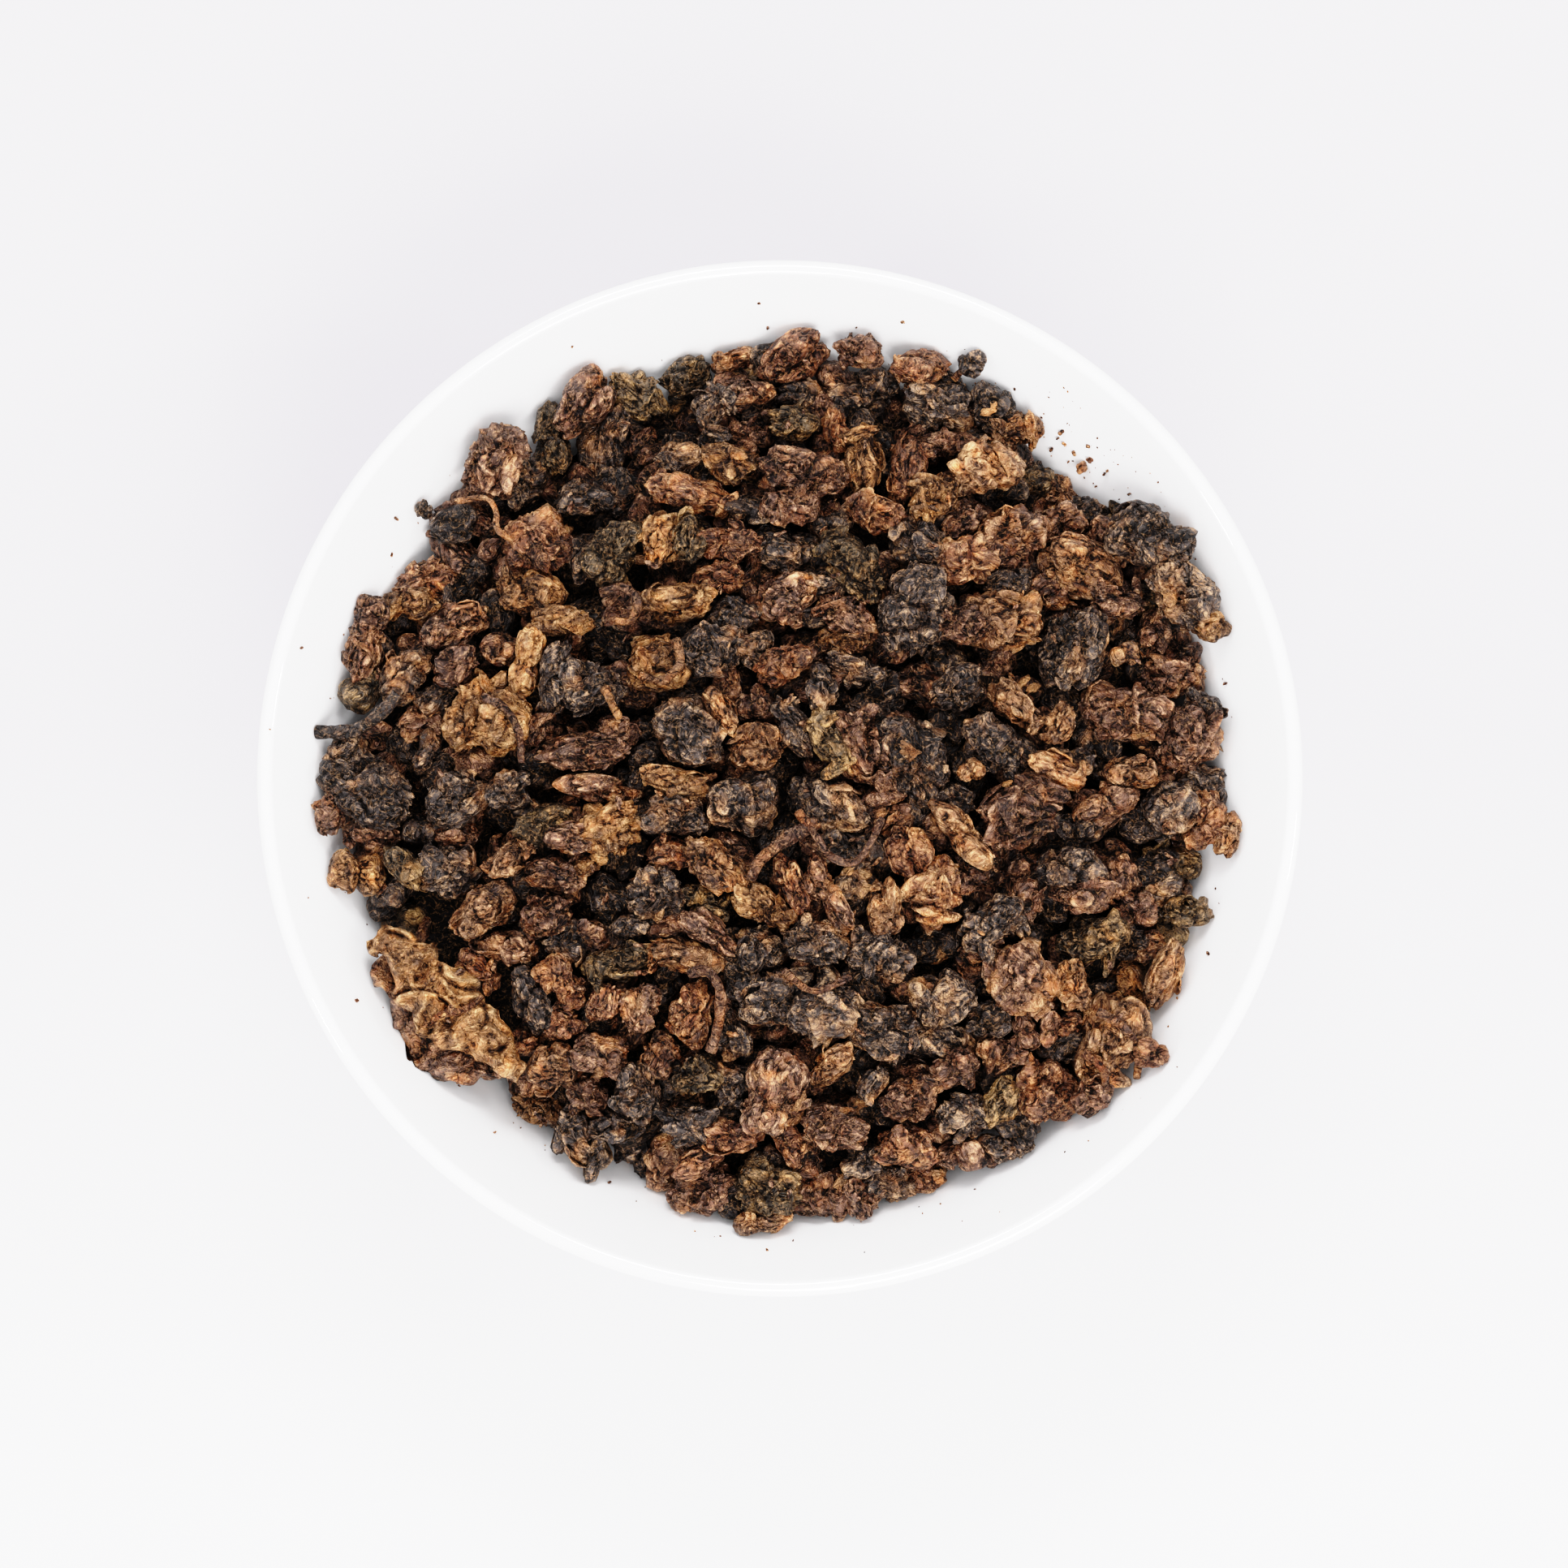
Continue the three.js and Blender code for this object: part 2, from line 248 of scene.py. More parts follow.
def crumpled(rng, mesh, kind):
    """Distance from the middle in each direction, and how each fold differs in tone."""
    d, f, e = mesh
    n1, n2, n3, n4, n5 = (Noise(rng) for _ in range(5))

    def warp(p, k, a):
        return p + a * np.stack([n5(p * k + 3.1), n5(p * k + 17.7), n5(p * k + 41.3)], 1)

    lobes = kind["lobes"]
    c = unit(rng.normal(size=(lobes, 3))) * rng.uniform(0.34, 0.62, (lobes, 1))
    c[:, 0] *= 1.2
    big = np.maximum(rng.uniform(0.42, 0.66, lobes), np.linalg.norm(c, axis=1) + 0.05)
    q = unit(warp(d, 1.5, 0.24))
    dc = q @ c.T
    t = dc + np.sqrt(np.maximum(1e-4, big ** 2 - (c ** 2).sum(1) + dc ** 2))
    m = t.max(1, keepdims=True)
    r = m[:, 0] + np.log(np.exp(28.0 * (t - m)).sum(1)) / 28.0
    r /= r.mean()
    tone = 0.25 * n3(d * 1.2 + 30.0)

    w = warp(d, 1.4, 0.38)
    cells = unit(rng.normal(size=(kind["cells"], 3))) * rng.uniform(0.85, 1.15, (kind["cells"], 1))
    dist = np.sqrt(((w[:, None, :] - cells[None]) ** 2).sum(2))
    order = np.argpartition(dist, 1, axis=1)[:, :2]
    two = np.take_along_axis(dist, order, 1)
    swap = two[:, 0] > two[:, 1]
    two[swap] = two[swap][:, ::-1]
    first = np.where(swap, order[:, 1], order[:, 0])
    bulge = 1 - np.exp(-(two[:, 1] - two[:, 0]) * 6.5)
    height = rng.uniform(-0.4, 0.4, kind["cells"])[first]
    r += 1.35 * kind["crease"] * (bulge * (1 + height) - 0.7)
    tone = tone + rng.uniform(-0.5, 0.5, kind["cells"])[first] * bulge

    w2 = warp(d, 2.2, 0.26)
    way = unit(rng.normal(size=(kind["cells"], 3)))
    along = (w2 * way[first]).sum(1) + rng.uniform(0, 3, kind["cells"])[first]
    phase = kind["gyri"] * (n1(w2 * 0.95) * 1.3 + along * 1.15)
    amount = np.clip(0.75 + 1.4 * n2(d * 1.3 + 11.0), 0.25, 1.2) * np.clip(bulge * 1.5, 0, 1)
    r += 1.05 * kind["fold"] * amount * (gyri(phase, 0.62) - 0.58)
    phase = 2.3 * kind["gyri"] * (n3(w2 * 1.2 + 5.0) * 1.5 + (w2 @ unit(rng.normal(size=3))) * 0.7)
    r += 0.36 * kind["fold"] * (gyri(phase, 0.62) - 0.6)
    if kind["long"] > 0:
        ang = np.arctan2(d[:, 2], d[:, 1])
        u = ang / (2 * math.pi) * kind["folds"] + 0.9 * n3(d * [0.6, 1.3, 1.3]) * kind["folds"] / 6 + kind["twist"] * d[:, 0]
        r += kind["long"] * (gyri(u, 0.6) - 0.6) * np.clip(1.25 - np.abs(d[:, 0]), 0.3, 1)

    s1 = (w @ unit(rng.normal(size=3))) * 0.95 + 0.55 * n3(d * 1.2 + 7.0) + rng.uniform()
    fr = s1 - np.floor(s1)
    step = np.where(fr < 0.90, fr / 0.90, (1 - fr) / 0.10)
    r += kind["ledge"] * (step ** 1.5 - 0.4)
    lip = np.clip(1 - np.abs(fr - 0.88) / 0.05, 0, 1)

    cordage = np.zeros(len(d))
    for _ in range(kind["cords"]):
        half = rng.uniform(0.10, 0.20)
        away, along = arc_distance(unit(warp(d, 2.0, 0.10)), rng, rng.uniform(0.25, 0.7))
        here = half * (0.75 + 0.25 * np.sin(along * rng.uniform(5, 11) + rng.uniform(0, 6)))
        x = np.clip(1 - (away / here) ** 2, 0, 1)
        side = np.clip(1 - (away / (here * 1.5)) ** 2, 0, 1)
        r += half * 0.75 * np.sqrt(x) - 0.03 * (side > 0) * (x <= 0)
        tone = np.where(x > 0, rng.uniform(-0.5, 0.8), tone)
        cordage = np.maximum(cordage, x)
    quiet = 1 - 0.75 * np.sqrt(cordage)
    a = np.abs(n1(w2 * 3.0 + 4.0))
    b = np.abs(n2(w2 * 5.2 + 9.0))
    thin = np.clip(1 - a * 3.6, 0, 1) ** 1.5 + 0.55 * np.clip(1 - b * 3.4, 0, 1) ** 1.5
    r += kind["ridge"] * thin * quiet
    fine = np.abs(n4(w2 * 9.5 + 2.0))
    r += kind["fine"] * (np.clip(1 - fine * 3.0, 0, 1) ** 1.3 - 0.3) * quiet
    return r, lip, tone, thin * quiet


def rolled_leaf(seed, mesh, kind, size, lean=0.15):
    """Vertices in mm, fitted to size = (length, width, height), and attributes."""
    rng = np.random.default_rng(seed)
    d, f, e = mesh
    r, lip, tone, thin = crumpled(rng, mesh, KINDS[kind])
    r = blur(r, e, 1)
    near = r - blur(r, e, 14)
    wide = r - blur(r, e, 110)
    p = d * np.maximum(r, 0.25)[:, None]
    sway = Noise(rng)
    tang = np.stack([sway(d * 1.1 + 1.0), sway(d * 1.1 + 21.0), sway(d * 1.1 + 51.0)], 1) * 2.2
    tang -= (tang * d).sum(1, keepdims=True) * d
    p += tang * np.clip(near, -0.03, 0.12)[:, None] * lean * 4.0
    bend = Noise(rng)
    p += 0.12 * np.stack([bend(p * 1.2), bend(p * 1.2 + 31.0), bend(p * 1.2 + 71.0)], 1)
    lo, hi = p.min(0), p.max(0)
    p = (p - (lo + hi) / 2) / (hi - lo) * np.array(size)
    # ridge is high on raised folds, where the leaf material paints the colour paler, partly as rubbed wear and partly
    # as painted highlight; the broad-hollow measure below is low in hollows, where the material paints the colour
    # darker as painted shade
    ridge = np.clip(near / (np.abs(near).mean() * 2.0), -2, 2) + 0.5 * thin
    hollow_shade = np.clip(wide / (np.abs(wide).mean() * 2.0), -2, 2)
    return p, f, {"ridge": ridge, "hollow_shade": hollow_shade, "tone": tone + 0.3 * lip}


def thinned(p, f, attrs, count, upward=True):
    """Fewer triangles, most of them kept where the leaf faces up, and the attributes carried over."""
    me = bpy.data.meshes.new("thin")
    me.from_pydata(p.tolist(), [], f.tolist())
    ob = bpy.data.objects.new("thin", me)
    scene.collection.objects.link(ob)
    mod = ob.modifiers.new("thin", "DECIMATE")
    mod.ratio = count / len(f)
    if upward:
        group = ob.vertex_groups.new(name="low")
        w = np.clip(0.42 - p[:, 2] / np.abs(p[:, 2]).max() * 1.5, 0, 1)
        for k in range(5):
            chosen = np.nonzero((w >= k / 5) & (w < (k + 1) / 5 + (k == 4)))[0]
            if len(chosen):
                group.add(chosen.tolist(), (k + 0.5) / 5, "REPLACE")
        mod.vertex_group = "low"
        mod.vertex_group_factor = 12.0
    seen = ob.evaluated_get(bpy.context.evaluated_depsgraph_get())
    out = seen.to_mesh()
    v = np.empty(len(out.vertices) * 3)
    out.vertices.foreach_get("co", v)
    v = v.reshape(-1, 3)
    out.calc_loop_triangles()
    t = np.empty(len(out.loop_triangles) * 3, dtype=np.int32)
    out.loop_triangles.foreach_get("vertices", t)
    t = t.reshape(-1, 3)
    seen.to_mesh_clear()
    bpy.data.objects.remove(ob)
    bpy.data.meshes.remove(me)
    tree = KDTree(len(p))
    for i, co in enumerate(p):
        tree.insert(co, i)
    tree.balance()
    near = np.array([tree.find(co)[1] for co in v])
    return v, t, {k: a[near] for k, a in attrs.items()}


# ---- a whole ball: body, side lobes and loose leaf edges ------------------------------------------------
def turn(yaw, tilt_x, tilt_y):
    cz, sz, cx, sx, cy, sy = math.cos(yaw), math.sin(yaw), math.cos(tilt_x), math.sin(tilt_x), math.cos(tilt_y), math.sin(tilt_y)
    rz = np.array([[cz, -sz, 0], [sz, cz, 0], [0, 0, 1]])
    rx = np.array([[1, 0, 0], [0, cx, -sx], [0, sx, cx]])
    ry = np.array([[cy, 0, sy], [0, 1, 0], [-sy, 0, cy]])
    return ry @ rx @ rz


def signed_volume(v, f):
    a, b, c = v[f[:, 0]], v[f[:, 1]], v[f[:, 2]]
    return float((np.cross(a, b) * c).sum() / 6)


def closed_sheet(top, bottom):
    """A thin closed body between two grids of points of the same shape."""
    nu, nv = top.shape[:2]
    v = np.concatenate([top.reshape(-1, 3), bottom.reshape(-1, 3)])
    half = nu * nv
    faces = []
    for i in range(nu - 1):
        for j in range(nv - 1):
            a, b, c, d = i * nv + j, (i + 1) * nv + j, (i + 1) * nv + j + 1, i * nv + j + 1
            faces += [(a, b, c), (a, c, d), (half + a, half + c, half + b), (half + a, half + d, half + c)]
    rim = [i * nv for i in range(nu)] + [(nu - 1) * nv + j for j in range(1, nv)]
    rim += [i * nv + nv - 1 for i in range(nu - 2, -1, -1)] + [j for j in range(nv - 2, 0, -1)]
    for a, b in zip(rim, rim[1:] + rim[:1]):
        faces += [(a, half + b, b), (a, half + a, half + b)]
    f = np.array(faces)
    return v, f if signed_volume(v, f) > 0 else f[:, ::-1]


def leaf_edge(rng, body, upward):
    """A loose leaf edge that wraps a body: held along one side, free and curled along the other."""
    out = unit(body)
    reach = np.linalg.norm(body, axis=1)
    mid = unit(rng.normal(size=3) * [1, 1, 0.5] + [0, 0, upward])
    u = unit(np.cross(mid, rng.normal(size=3)))
    w = np.cross(mid, u)
    nu, nv = 12, 6
    span, wide = rng.uniform(0.5, 1.05), rng.uniform(0.26, 0.46)
    lift = rng.uniform(0.45, 1.15)
    noise = Noise(rng)
    s = np.linspace(-1, 1, nu)[:, None]
    t = np.linspace(0, 1, nv)[None, :]
    taper = np.clip(1 - np.abs(s) ** 2.6, 0.12, 1)
    lat = (t - 0.5) * 2 * wide * taper * (1 + 0.25 * np.sin(s * rng.uniform(3, 6) + rng.uniform(0, 6)))
    lon = s * span + 0.10 * np.sin(t * 3)
    d = np.cos(lat)[..., None] * (np.cos(lon)[..., None] * mid + np.sin(lon)[..., None] * u) + np.sin(lat)[..., None] * w
    d = unit(d.reshape(-1, 3))
    near = np.argsort(-(d @ out.T), axis=1)[:, :6] if len(out) < 3000 else np.argpartition(-(d @ out.T), 6, axis=1)[:, :6]
    r = reach[near].mean(1).reshape(nu, nv)
    r = (r + np.roll(r, 1, 0) + np.roll(r, -1, 0)) / 3 if nu > 3 else r
    rise = -0.28 + (lift + 0.28) * t ** 1.3 * taper - 0.25 * np.clip(t - 0.8, 0, 1) * 4 * lift * 0.3
    crumple = noise(d * 5.0).reshape(nu, nv) * 0.22 + noise(d * 11.0 + 5).reshape(nu, nv) * 0.10
    r = r + rise + crumple * (0.3 + t)
    thick = 0.16
    top = d.reshape(nu, nv, 3) * (r + thick / 2)[..., None]
    low = d.reshape(nu, nv, 3) * (r - thick / 2)[..., None]
    v, f = closed_sheet(top, low)
    free = np.tile((t * np.ones_like(s)).ravel(), 2)
    ridge = np.tile((crumple * 4).ravel(), 2) + 0.8 * (free > 0.8)
    return v, f, {"ridge": ridge, "hollow_shade": np.zeros(len(v)), "tone": rng.uniform(-0.2, 0.5) + 0.5 * free}


def lobe_forms():
    """Small crumpled lobes that the balls share, turned and stretched anew on each."""
    rng = np.random.default_rng(44)
    mesh = ball(5)
    forms = []
    for k in range(40):
        p, f, attrs = rolled_leaf(3000 + k, mesh, "wkprl"[k % 5], (1.0, rng.uniform(0.62, 0.9), rng.uniform(0.55, 0.8)))
        forms.append(thinned(p, f, attrs, 320, False))
    return forms


def leaf_ball(seed, mesh, forms, kind, size, budget, plain=False):
    """One rolled leaf with what is folded on to it: vertices in mm, triangles, attributes."""
    rng = np.random.default_rng(seed + 1)
    ln, wd, tall = size
    whole = plain or kind == "s"
    body = (ln, wd, tall) if whole else (ln * 0.92, wd * 0.90, tall * 0.95)
    p, f, attrs = rolled_leaf(seed, mesh, kind, body)
    v, t, attrs = thinned(p, f, attrs, min(len(f), int(budget * (1.0 if whole else 0.66))))
    parts = [(v, t, attrs)]
    if not whole:
        count = 2 + int(ln > 7.5) + int(rng.random() < 0.45) + int(ln * wd > 75)
        start = rng.uniform(0, 6.28)
        for k in range(count):
            lv, lt, la = forms[rng.integers(len(forms))]
            a = start + 2 * math.pi * k / count + rng.uniform(-0.45, 0.45)
            s = rng.uniform(0.52, 0.76) * min(wd, 7.0)
            scale = np.array([s * rng.uniform(1.25, 1.8), s * rng.uniform(0.72, 0.95), s * rng.uniform(0.72, 1.0)])
            if rng.random() < 0.5:
                lv, lt = lv * [1, -1, 1], lt[:, ::-1]
            rot = turn(a + math.pi / 2 + rng.uniform(-0.45, 0.45), rng.uniform(-0.7, 0.7), rng.uniform(-0.4, 0.4))
            at = np.array([math.cos(a) * (ln / 2 - s * 0.60), math.sin(a) * (wd / 2 - s * 0.56), rng.uniform(-0.14, 0.18) * tall])
            extra = dict(la)
            extra["tone"] = la["tone"] + rng.uniform(-0.55, 0.55)
            parts.append(((lv * scale) @ rot.T + at, lt, extra))
        for _ in range(1 + int(rng.random() < 0.45) + int(kind == "l")):
            parts.append(leaf_edge(rng, v, rng.uniform(0.1, 1.2)))
    n = np.cumsum([0] + [len(x[0]) for x in parts])
    out = {k: np.concatenate([x[2][k] for x in parts]) for k in ("ridge", "hollow_shade", "tone")}
    return np.concatenate([x[0] for x in parts]), np.concatenate([x[1] + o for x, o in zip(parts, n)]), out


# ---- gathering many small things into one mesh ----------------------------------------------------
class Pile:
    def __init__(self):
        self.v, self.f, self.a, self.n = [], [], {"ridge": [], "hollow_shade": [], "tone": [], "rest": []}, 0

    def add(self, v, f, attrs, rest):
        self.v.append(v)
        self.f.append(f + self.n)
        self.n += len(v)
        for k in ("ridge", "hollow_shade", "tone"):
            self.a[k].append(attrs[k] if k in attrs else np.zeros(len(v)))
        self.a["rest"].append(rest)

    def faces(self):
        return sum(len(f) for f in self.f)

    def make(self, name, material):
        v = np.concatenate(self.v) * MM
        f = np.concatenate(self.f)
        me = bpy.data.meshes.new(name)
        me.vertices.add(len(v))
        me.vertices.foreach_set("co", v.astype(np.float32).ravel())
        me.loops.add(len(f) * 3)
        me.loops.foreach_set("vertex_index", f.astype(np.int32).ravel())
        me.polygons.add(len(f))
        me.polygons.foreach_set("loop_start", np.arange(0, len(f) * 3, 3, dtype=np.int32))
        me.update(calc_edges=True)
        me.shade_smooth()
        for k in ("ridge", "hollow_shade", "tone"):
            me.attributes.new(k, "FLOAT", "POINT").data.foreach_set("value", np.concatenate(self.a[k]).astype(np.float32))
        me.attributes.new("rest", "FLOAT_VECTOR", "POINT").data.foreach_set("vector", np.concatenate(self.a["rest"]).astype(np.float32).ravel())
        ob = bpy.data.objects.new(name, me)
        scene.collection.objects.link(ob)
        me.materials.append(material)
        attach(ob, "root")
        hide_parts("tea_heap")
        return ob


# ---- materials ---------------------------------------------------------------------------------------
class Nodes:
    def __init__(self, name):
        self.material = bpy.data.materials.new(name)
        self.material.use_nodes = True
        self.tree = self.material.node_tree
        self.shader = self.tree.nodes["Principled BSDF"]

    def new(self, kind, **inputs):
        n = self.tree.nodes.new(kind)
        for k, v in inputs.items():
            self.put(n.inputs[k.replace("_", " ")], v)
        return n

    def put(self, socket, value):
        if isinstance(value, bpy.types.NodeSocket):
            self.tree.links.new(value, socket)
        else:
            socket.default_value = value

    def math(self, op, a, b=0.0, clamp=False):
        n = self.tree.nodes.new("ShaderNodeMath")
        n.operation = op
        n.use_clamp = clamp
        self.put(n.inputs[0], a)
        self.put(n.inputs[1], b)
        return n.outputs[0]

    def attribute(self, name):
        n = self.tree.nodes.new("ShaderNodeAttribute")
        n.attribute_type = "GEOMETRY"
        n.attribute_name = name
        return n

    def noise(self, vector, scale, detail=3.0, rough=0.55, bent=0.0):
        n = self.new("ShaderNodeTexNoise", Vector=vector, Scale=scale, Detail=detail, Roughness=rough, Distortion=bent)
        return n.outputs["Fac"]

    def ramp(self, fac, stops):
        n = self.tree.nodes.new("ShaderNodeValToRGB")
        self.put(n.inputs[0], fac)
        el = n.color_ramp.elements
        el[0].position, el[0].color = stops[0][0], (*stops[0][1], 1)
        el[1].position, el[1].color = stops[-1][0], (*stops[-1][1], 1)
        for at, colour in stops[1:-1]:
            el.new(at).color = (*colour, 1)
        return n.outputs[0]

    def mix(self, fac, a, b, how="MIX"):
        n = self.tree.nodes.new("ShaderNodeMix")
        n.data_type = "RGBA"
        n.blend_type = how
        self.put(n.inputs[0], fac)
        self.put(n.inputs[6], a if isinstance(a, bpy.types.NodeSocket) else (*a, 1))
        self.put(n.inputs[7], b if isinstance(b, bpy.types.NodeSocket) else (*b, 1))
        return n.outputs[2]


def linear(r, g, b):
    return tuple((c / 255 / 12.92) if c / 255 <= 0.04045 else ((c / 255 + 0.055) / 1.055) ** 2.4 for c in (r, g, b))


# The crevice colour, reached in hollows and creases, is painted shade; the raised and rubbed-edge colours, reached on
# raised folds and wrinkle crests, are partly rubbed wear and partly painted highlight.
TONES = {  # crevice, face, raised, rubbed edge; share of tan skin; its three colours
    "d": [(11, 4, 2), (32, 25, 23), (79, 64, 58), (197, 162, 129), 0.18, (90, 58, 36), (158, 113, 77), (222, 175, 127)],
    "o": [(14, 7, 3), (50, 39, 25), (104, 80, 51), (200, 161, 110), 0.22, (100, 71, 38), (164, 124, 78), (218, 177, 122)],
    "b": [(17, 6, 3), (66, 40, 27), (128, 90, 70), (217, 173, 136), 0.28, (114, 70, 41), (176, 123, 81), (230, 182, 132)],
    "r": [(20, 6, 3), (74, 41, 24), (139, 90, 60), (219, 169, 123), 0.26, (120, 71, 42), (183, 126, 79), (230, 181, 130)],
    "t": [(26, 11, 5), (92, 60, 38), (155, 112, 78), (228, 184, 138), 0.44, (138, 87, 52), (194, 141, 93), (238, 193, 143)],
    "g": [(32, 15, 6), (92, 60, 34), (151, 107, 67), (222, 177, 127), 0.50, (138, 91, 53), (192, 141, 91), (238, 194, 141)],
}


def leaf_material(name, tone, lift=0.0, rough=0.40):
    m = Nodes(name)
    ridge, hollow_shade, vary, rest = (m.attribute(k).outputs["Vector" if k == "rest" else "Fac"] for k in ("ridge", "hollow_shade", "tone", "rest"))
    # wrinkles run along bent paths, so the texture space is bent first
    sway = m.new("ShaderNodeTexNoise", Vector=rest, Scale=0.50, Detail=1.5).outputs["Color"]
    bend = m.new("ShaderNodeVectorMath", Vector=sway)
    bend.operation = "MULTIPLY_ADD"
    bend.inputs[1].default_value = (1.5, 1.5, 1.5)
    m.put(bend.inputs[2], rest)
    where = bend.outputs[0]

    def cells(scale, kind):
        n = m.new("ShaderNodeTexVoronoi", Vector=where, Scale=scale, Randomness=1.0)
        n.feature = kind
        return n.outputs

    def lines(scale, detail, width):
        off = m.math("ABSOLUTE", m.math("SUBTRACT", m.noise(where, scale, detail, 0.55, 0.3), 0.5))
        return m.math("SUBTRACT", 1.0, m.math("DIVIDE", off, width, True), True)

    def wrinkles(vector, squash, scale):
        drawn = m.new("ShaderNodeVectorMath", Vector=vector)
        drawn.operation = "MULTIPLY"
        drawn.inputs[1].default_value = squash
        f = m.math("FRACT", m.math("MULTIPLY", m.noise(drawn.outputs[0], scale, 3.0, 0.52, 0.8), 4.6))
        return m.math("MINIMUM", m.math("DIVIDE", f, 0.84), m.math("DIVIDE", m.math("SUBTRACT", 1.0, f), 0.16))

    grain = m.noise(where, 2.8, 4.0, 0.78, 0.2)
    leafs = cells(0.38, "F1")["Color"]
    coarse = m.math("DIVIDE", cells(0.38, "DISTANCE_TO_EDGE")["Distance"], 0.035, True)
    veins = lines(1.15, 2.5, 0.055)
    slip = m.new("ShaderNodeVectorMath", Vector=leafs)
    slip.operation = "MULTIPLY_ADD"
    slip.inputs[1].default_value = (9.0, 9.0, 9.0)
    m.put(slip.inputs[2], where)
    pick = m.new("ShaderNodeSeparateXYZ", Vector=leafs).outputs["X"]
    one, two = wrinkles(slip.outputs[0], (0.40, 1.0, 1.0), 0.66), wrinkles(slip.outputs[0], (1.0, 1.0, 0.40), 0.66)
    chosen = m.math("GREATER_THAN", pick, 0.5)
    pleat = m.math("ADD", m.math("MULTIPLY", one, chosen), m.math("MULTIPLY", two, m.math("SUBTRACT", 1.0, chosen)))
    crest_highlight = m.math("MULTIPLY", m.math("SUBTRACT", pleat, 0.78, True), 4.6, True)
    crease_shade = m.math("SUBTRACT", 1.0, m.math("MULTIPLY", pleat, 5.0, True), True)
    # Colour lightness: darker in broad hollows, in wrinkle creases and along the creases between facets, as painted
    # shade; lighter on wrinkle crests as painted highlight; lighter on raised folds, partly rubbed wear and partly
    # painted highlight.
    h = m.math("MULTIPLY", ridge, 0.18)
    for part, weight in ((hollow_shade, 0.13), (vary, 0.22), (m.math("SUBTRACT", grain, 0.5), 0.84), (m.math("SUBTRACT", coarse, 0.95), 0.16), (m.math("SUBTRACT", pick, 0.5), 0.12),
                         (crest_highlight, 0.25), (crease_shade, -0.36), (veins, 0.22)):
        h = m.math("ADD", h, m.math("MULTIPLY", part, weight))
    h = m.math("ADD", h, 0.265 + lift, True)
    *c, share, t1, t2, t3 = TONES[tone]
    c = [linear(*k) for k in c]
    base = m.ramp(h, [(0.0, c[0]), (0.27, c[1]), (0.62, c[2]), (1.0, c[3])])
    skin = m.ramp(h, [(0.0, c[0]), (0.25, linear(*t1)), (0.60, linear(*t2)), (1.0, linear(*t3))])
    # tan skin lies over the darker leaf in torn patches
    patch = m.noise(rest, 0.24, 4.0, 0.58, 0.5)
    patch = m.math("ADD", patch, m.math("MULTIPLY", vary, 0.09))
    patch = m.math("ADD", patch, m.math("MULTIPLY", m.math("SUBTRACT", pick, 0.5), 0.10))
    mask = m.math("MULTIPLY", m.math("SUBTRACT", patch, 0.58 - 0.24 * share, True), 6.0, True)
    colour = m.mix(mask, base, skin)
    # Random patches: the warm ones are the leaf's own colour; the cool grey ones are partly the leaf's own tone and
    # partly a painted sheen on the dark leaves.
    stain_and_sheen = m.noise(rest, 0.60, 2.0, 0.5)
    warm = m.math("MULTIPLY", m.math("SUBTRACT", stain_and_sheen, 0.525, True), 4.6, True)
    colour = m.mix(warm, colour, m.mix(1.0, colour, (1.22, 0.94, 0.66), "MULTIPLY"))
    cool_sheen = m.math("MULTIPLY", m.math("SUBTRACT", 0.475, stain_and_sheen, True), 4.6, True)
    colour = m.mix(cool_sheen, colour, m.mix(0.56, colour, linear(45, 39, 42)))
    # rubbed veins and edges show as fine pale lines
    gild = m.math("MULTIPLY", veins, m.math("MULTIPLY", m.math("SUBTRACT", grain, 0.40, True), 4.0, True))
    colour = m.mix(m.math("MULTIPLY", gild, 0.46), colour, linear(204, 160, 116))
    m.put(m.shader.inputs["Base Color"], colour)
    m.put(m.shader.inputs["Roughness"], m.math("ADD", m.math("MULTIPLY", grain, 0.34), rough - 0.22, True))
    m.put(m.shader.inputs["Specular IOR Level"], m.math("ADD", m.math("MULTIPLY", h, 0.95), 0.28, True))
    up = m.math("MULTIPLY", coarse, 0.16)
    for part, weight in ((pleat, 0.54), (veins, 0.26), (grain, 0.54)):
        up = m.math("ADD", up, m.math("MULTIPLY", part, weight))
    bump = m.new("ShaderNodeBump", Strength=1.0, Distance=0.00050, Height=up)
    m.put(m.shader.inputs["Normal"], bump.outputs[0])
    return m.material


def porcelain_material():
    m = Nodes("porcelain_glaze")
    where = m.tree.nodes.new("ShaderNodeTexCoord").outputs["Object"]
    parts = m.new("ShaderNodeSeparateXYZ", Vector=where)
    cloud = m.noise(where, 22.0, 3.0, 0.5)
    glaze = m.ramp(cloud, [(0.35, linear(247, 246, 247)), (0.65, linear(250, 249, 250))])
    # the foot's standing edge is wiped clean of glaze
    low = m.new("ShaderNodeMapRange", Value=parts.outputs["Z"])
    low.inputs["From Min"].default_value = 0.0006
    low.inputs["From Max"].default_value = 0.0011
    low.inputs["To Min"].default_value = 1.0
    low.inputs["To Max"].default_value = 0.0
    biscuit = m.ramp(m.noise(where, 900.0, 4.0, 0.7), [(0.3, linear(214, 205, 190)), (0.7, linear(232, 226, 214))])
    bare = m.math("MULTIPLY", low.outputs[0], 1.0, True)
    m.put(m.shader.inputs["Base Color"], m.mix(bare, glaze, biscuit))
    m.put(m.shader.inputs["Roughness"], m.math("ADD", m.math("MULTIPLY", bare, 0.55), m.math("MULTIPLY", m.noise(where, 60.0, 2.0), 0.07), True))
    m.shader.inputs["Specular IOR Level"].default_value = 0.9
    pits = m.math("MULTIPLY", m.noise(where, 260.0, 2.0, 0.5), 1.0)
    bump = m.new("ShaderNodeBump", Strength=0.06, Distance=0.0003, Height=pits)
    m.put(m.shader.inputs["Normal"], bump.outputs[0])
    return m.material


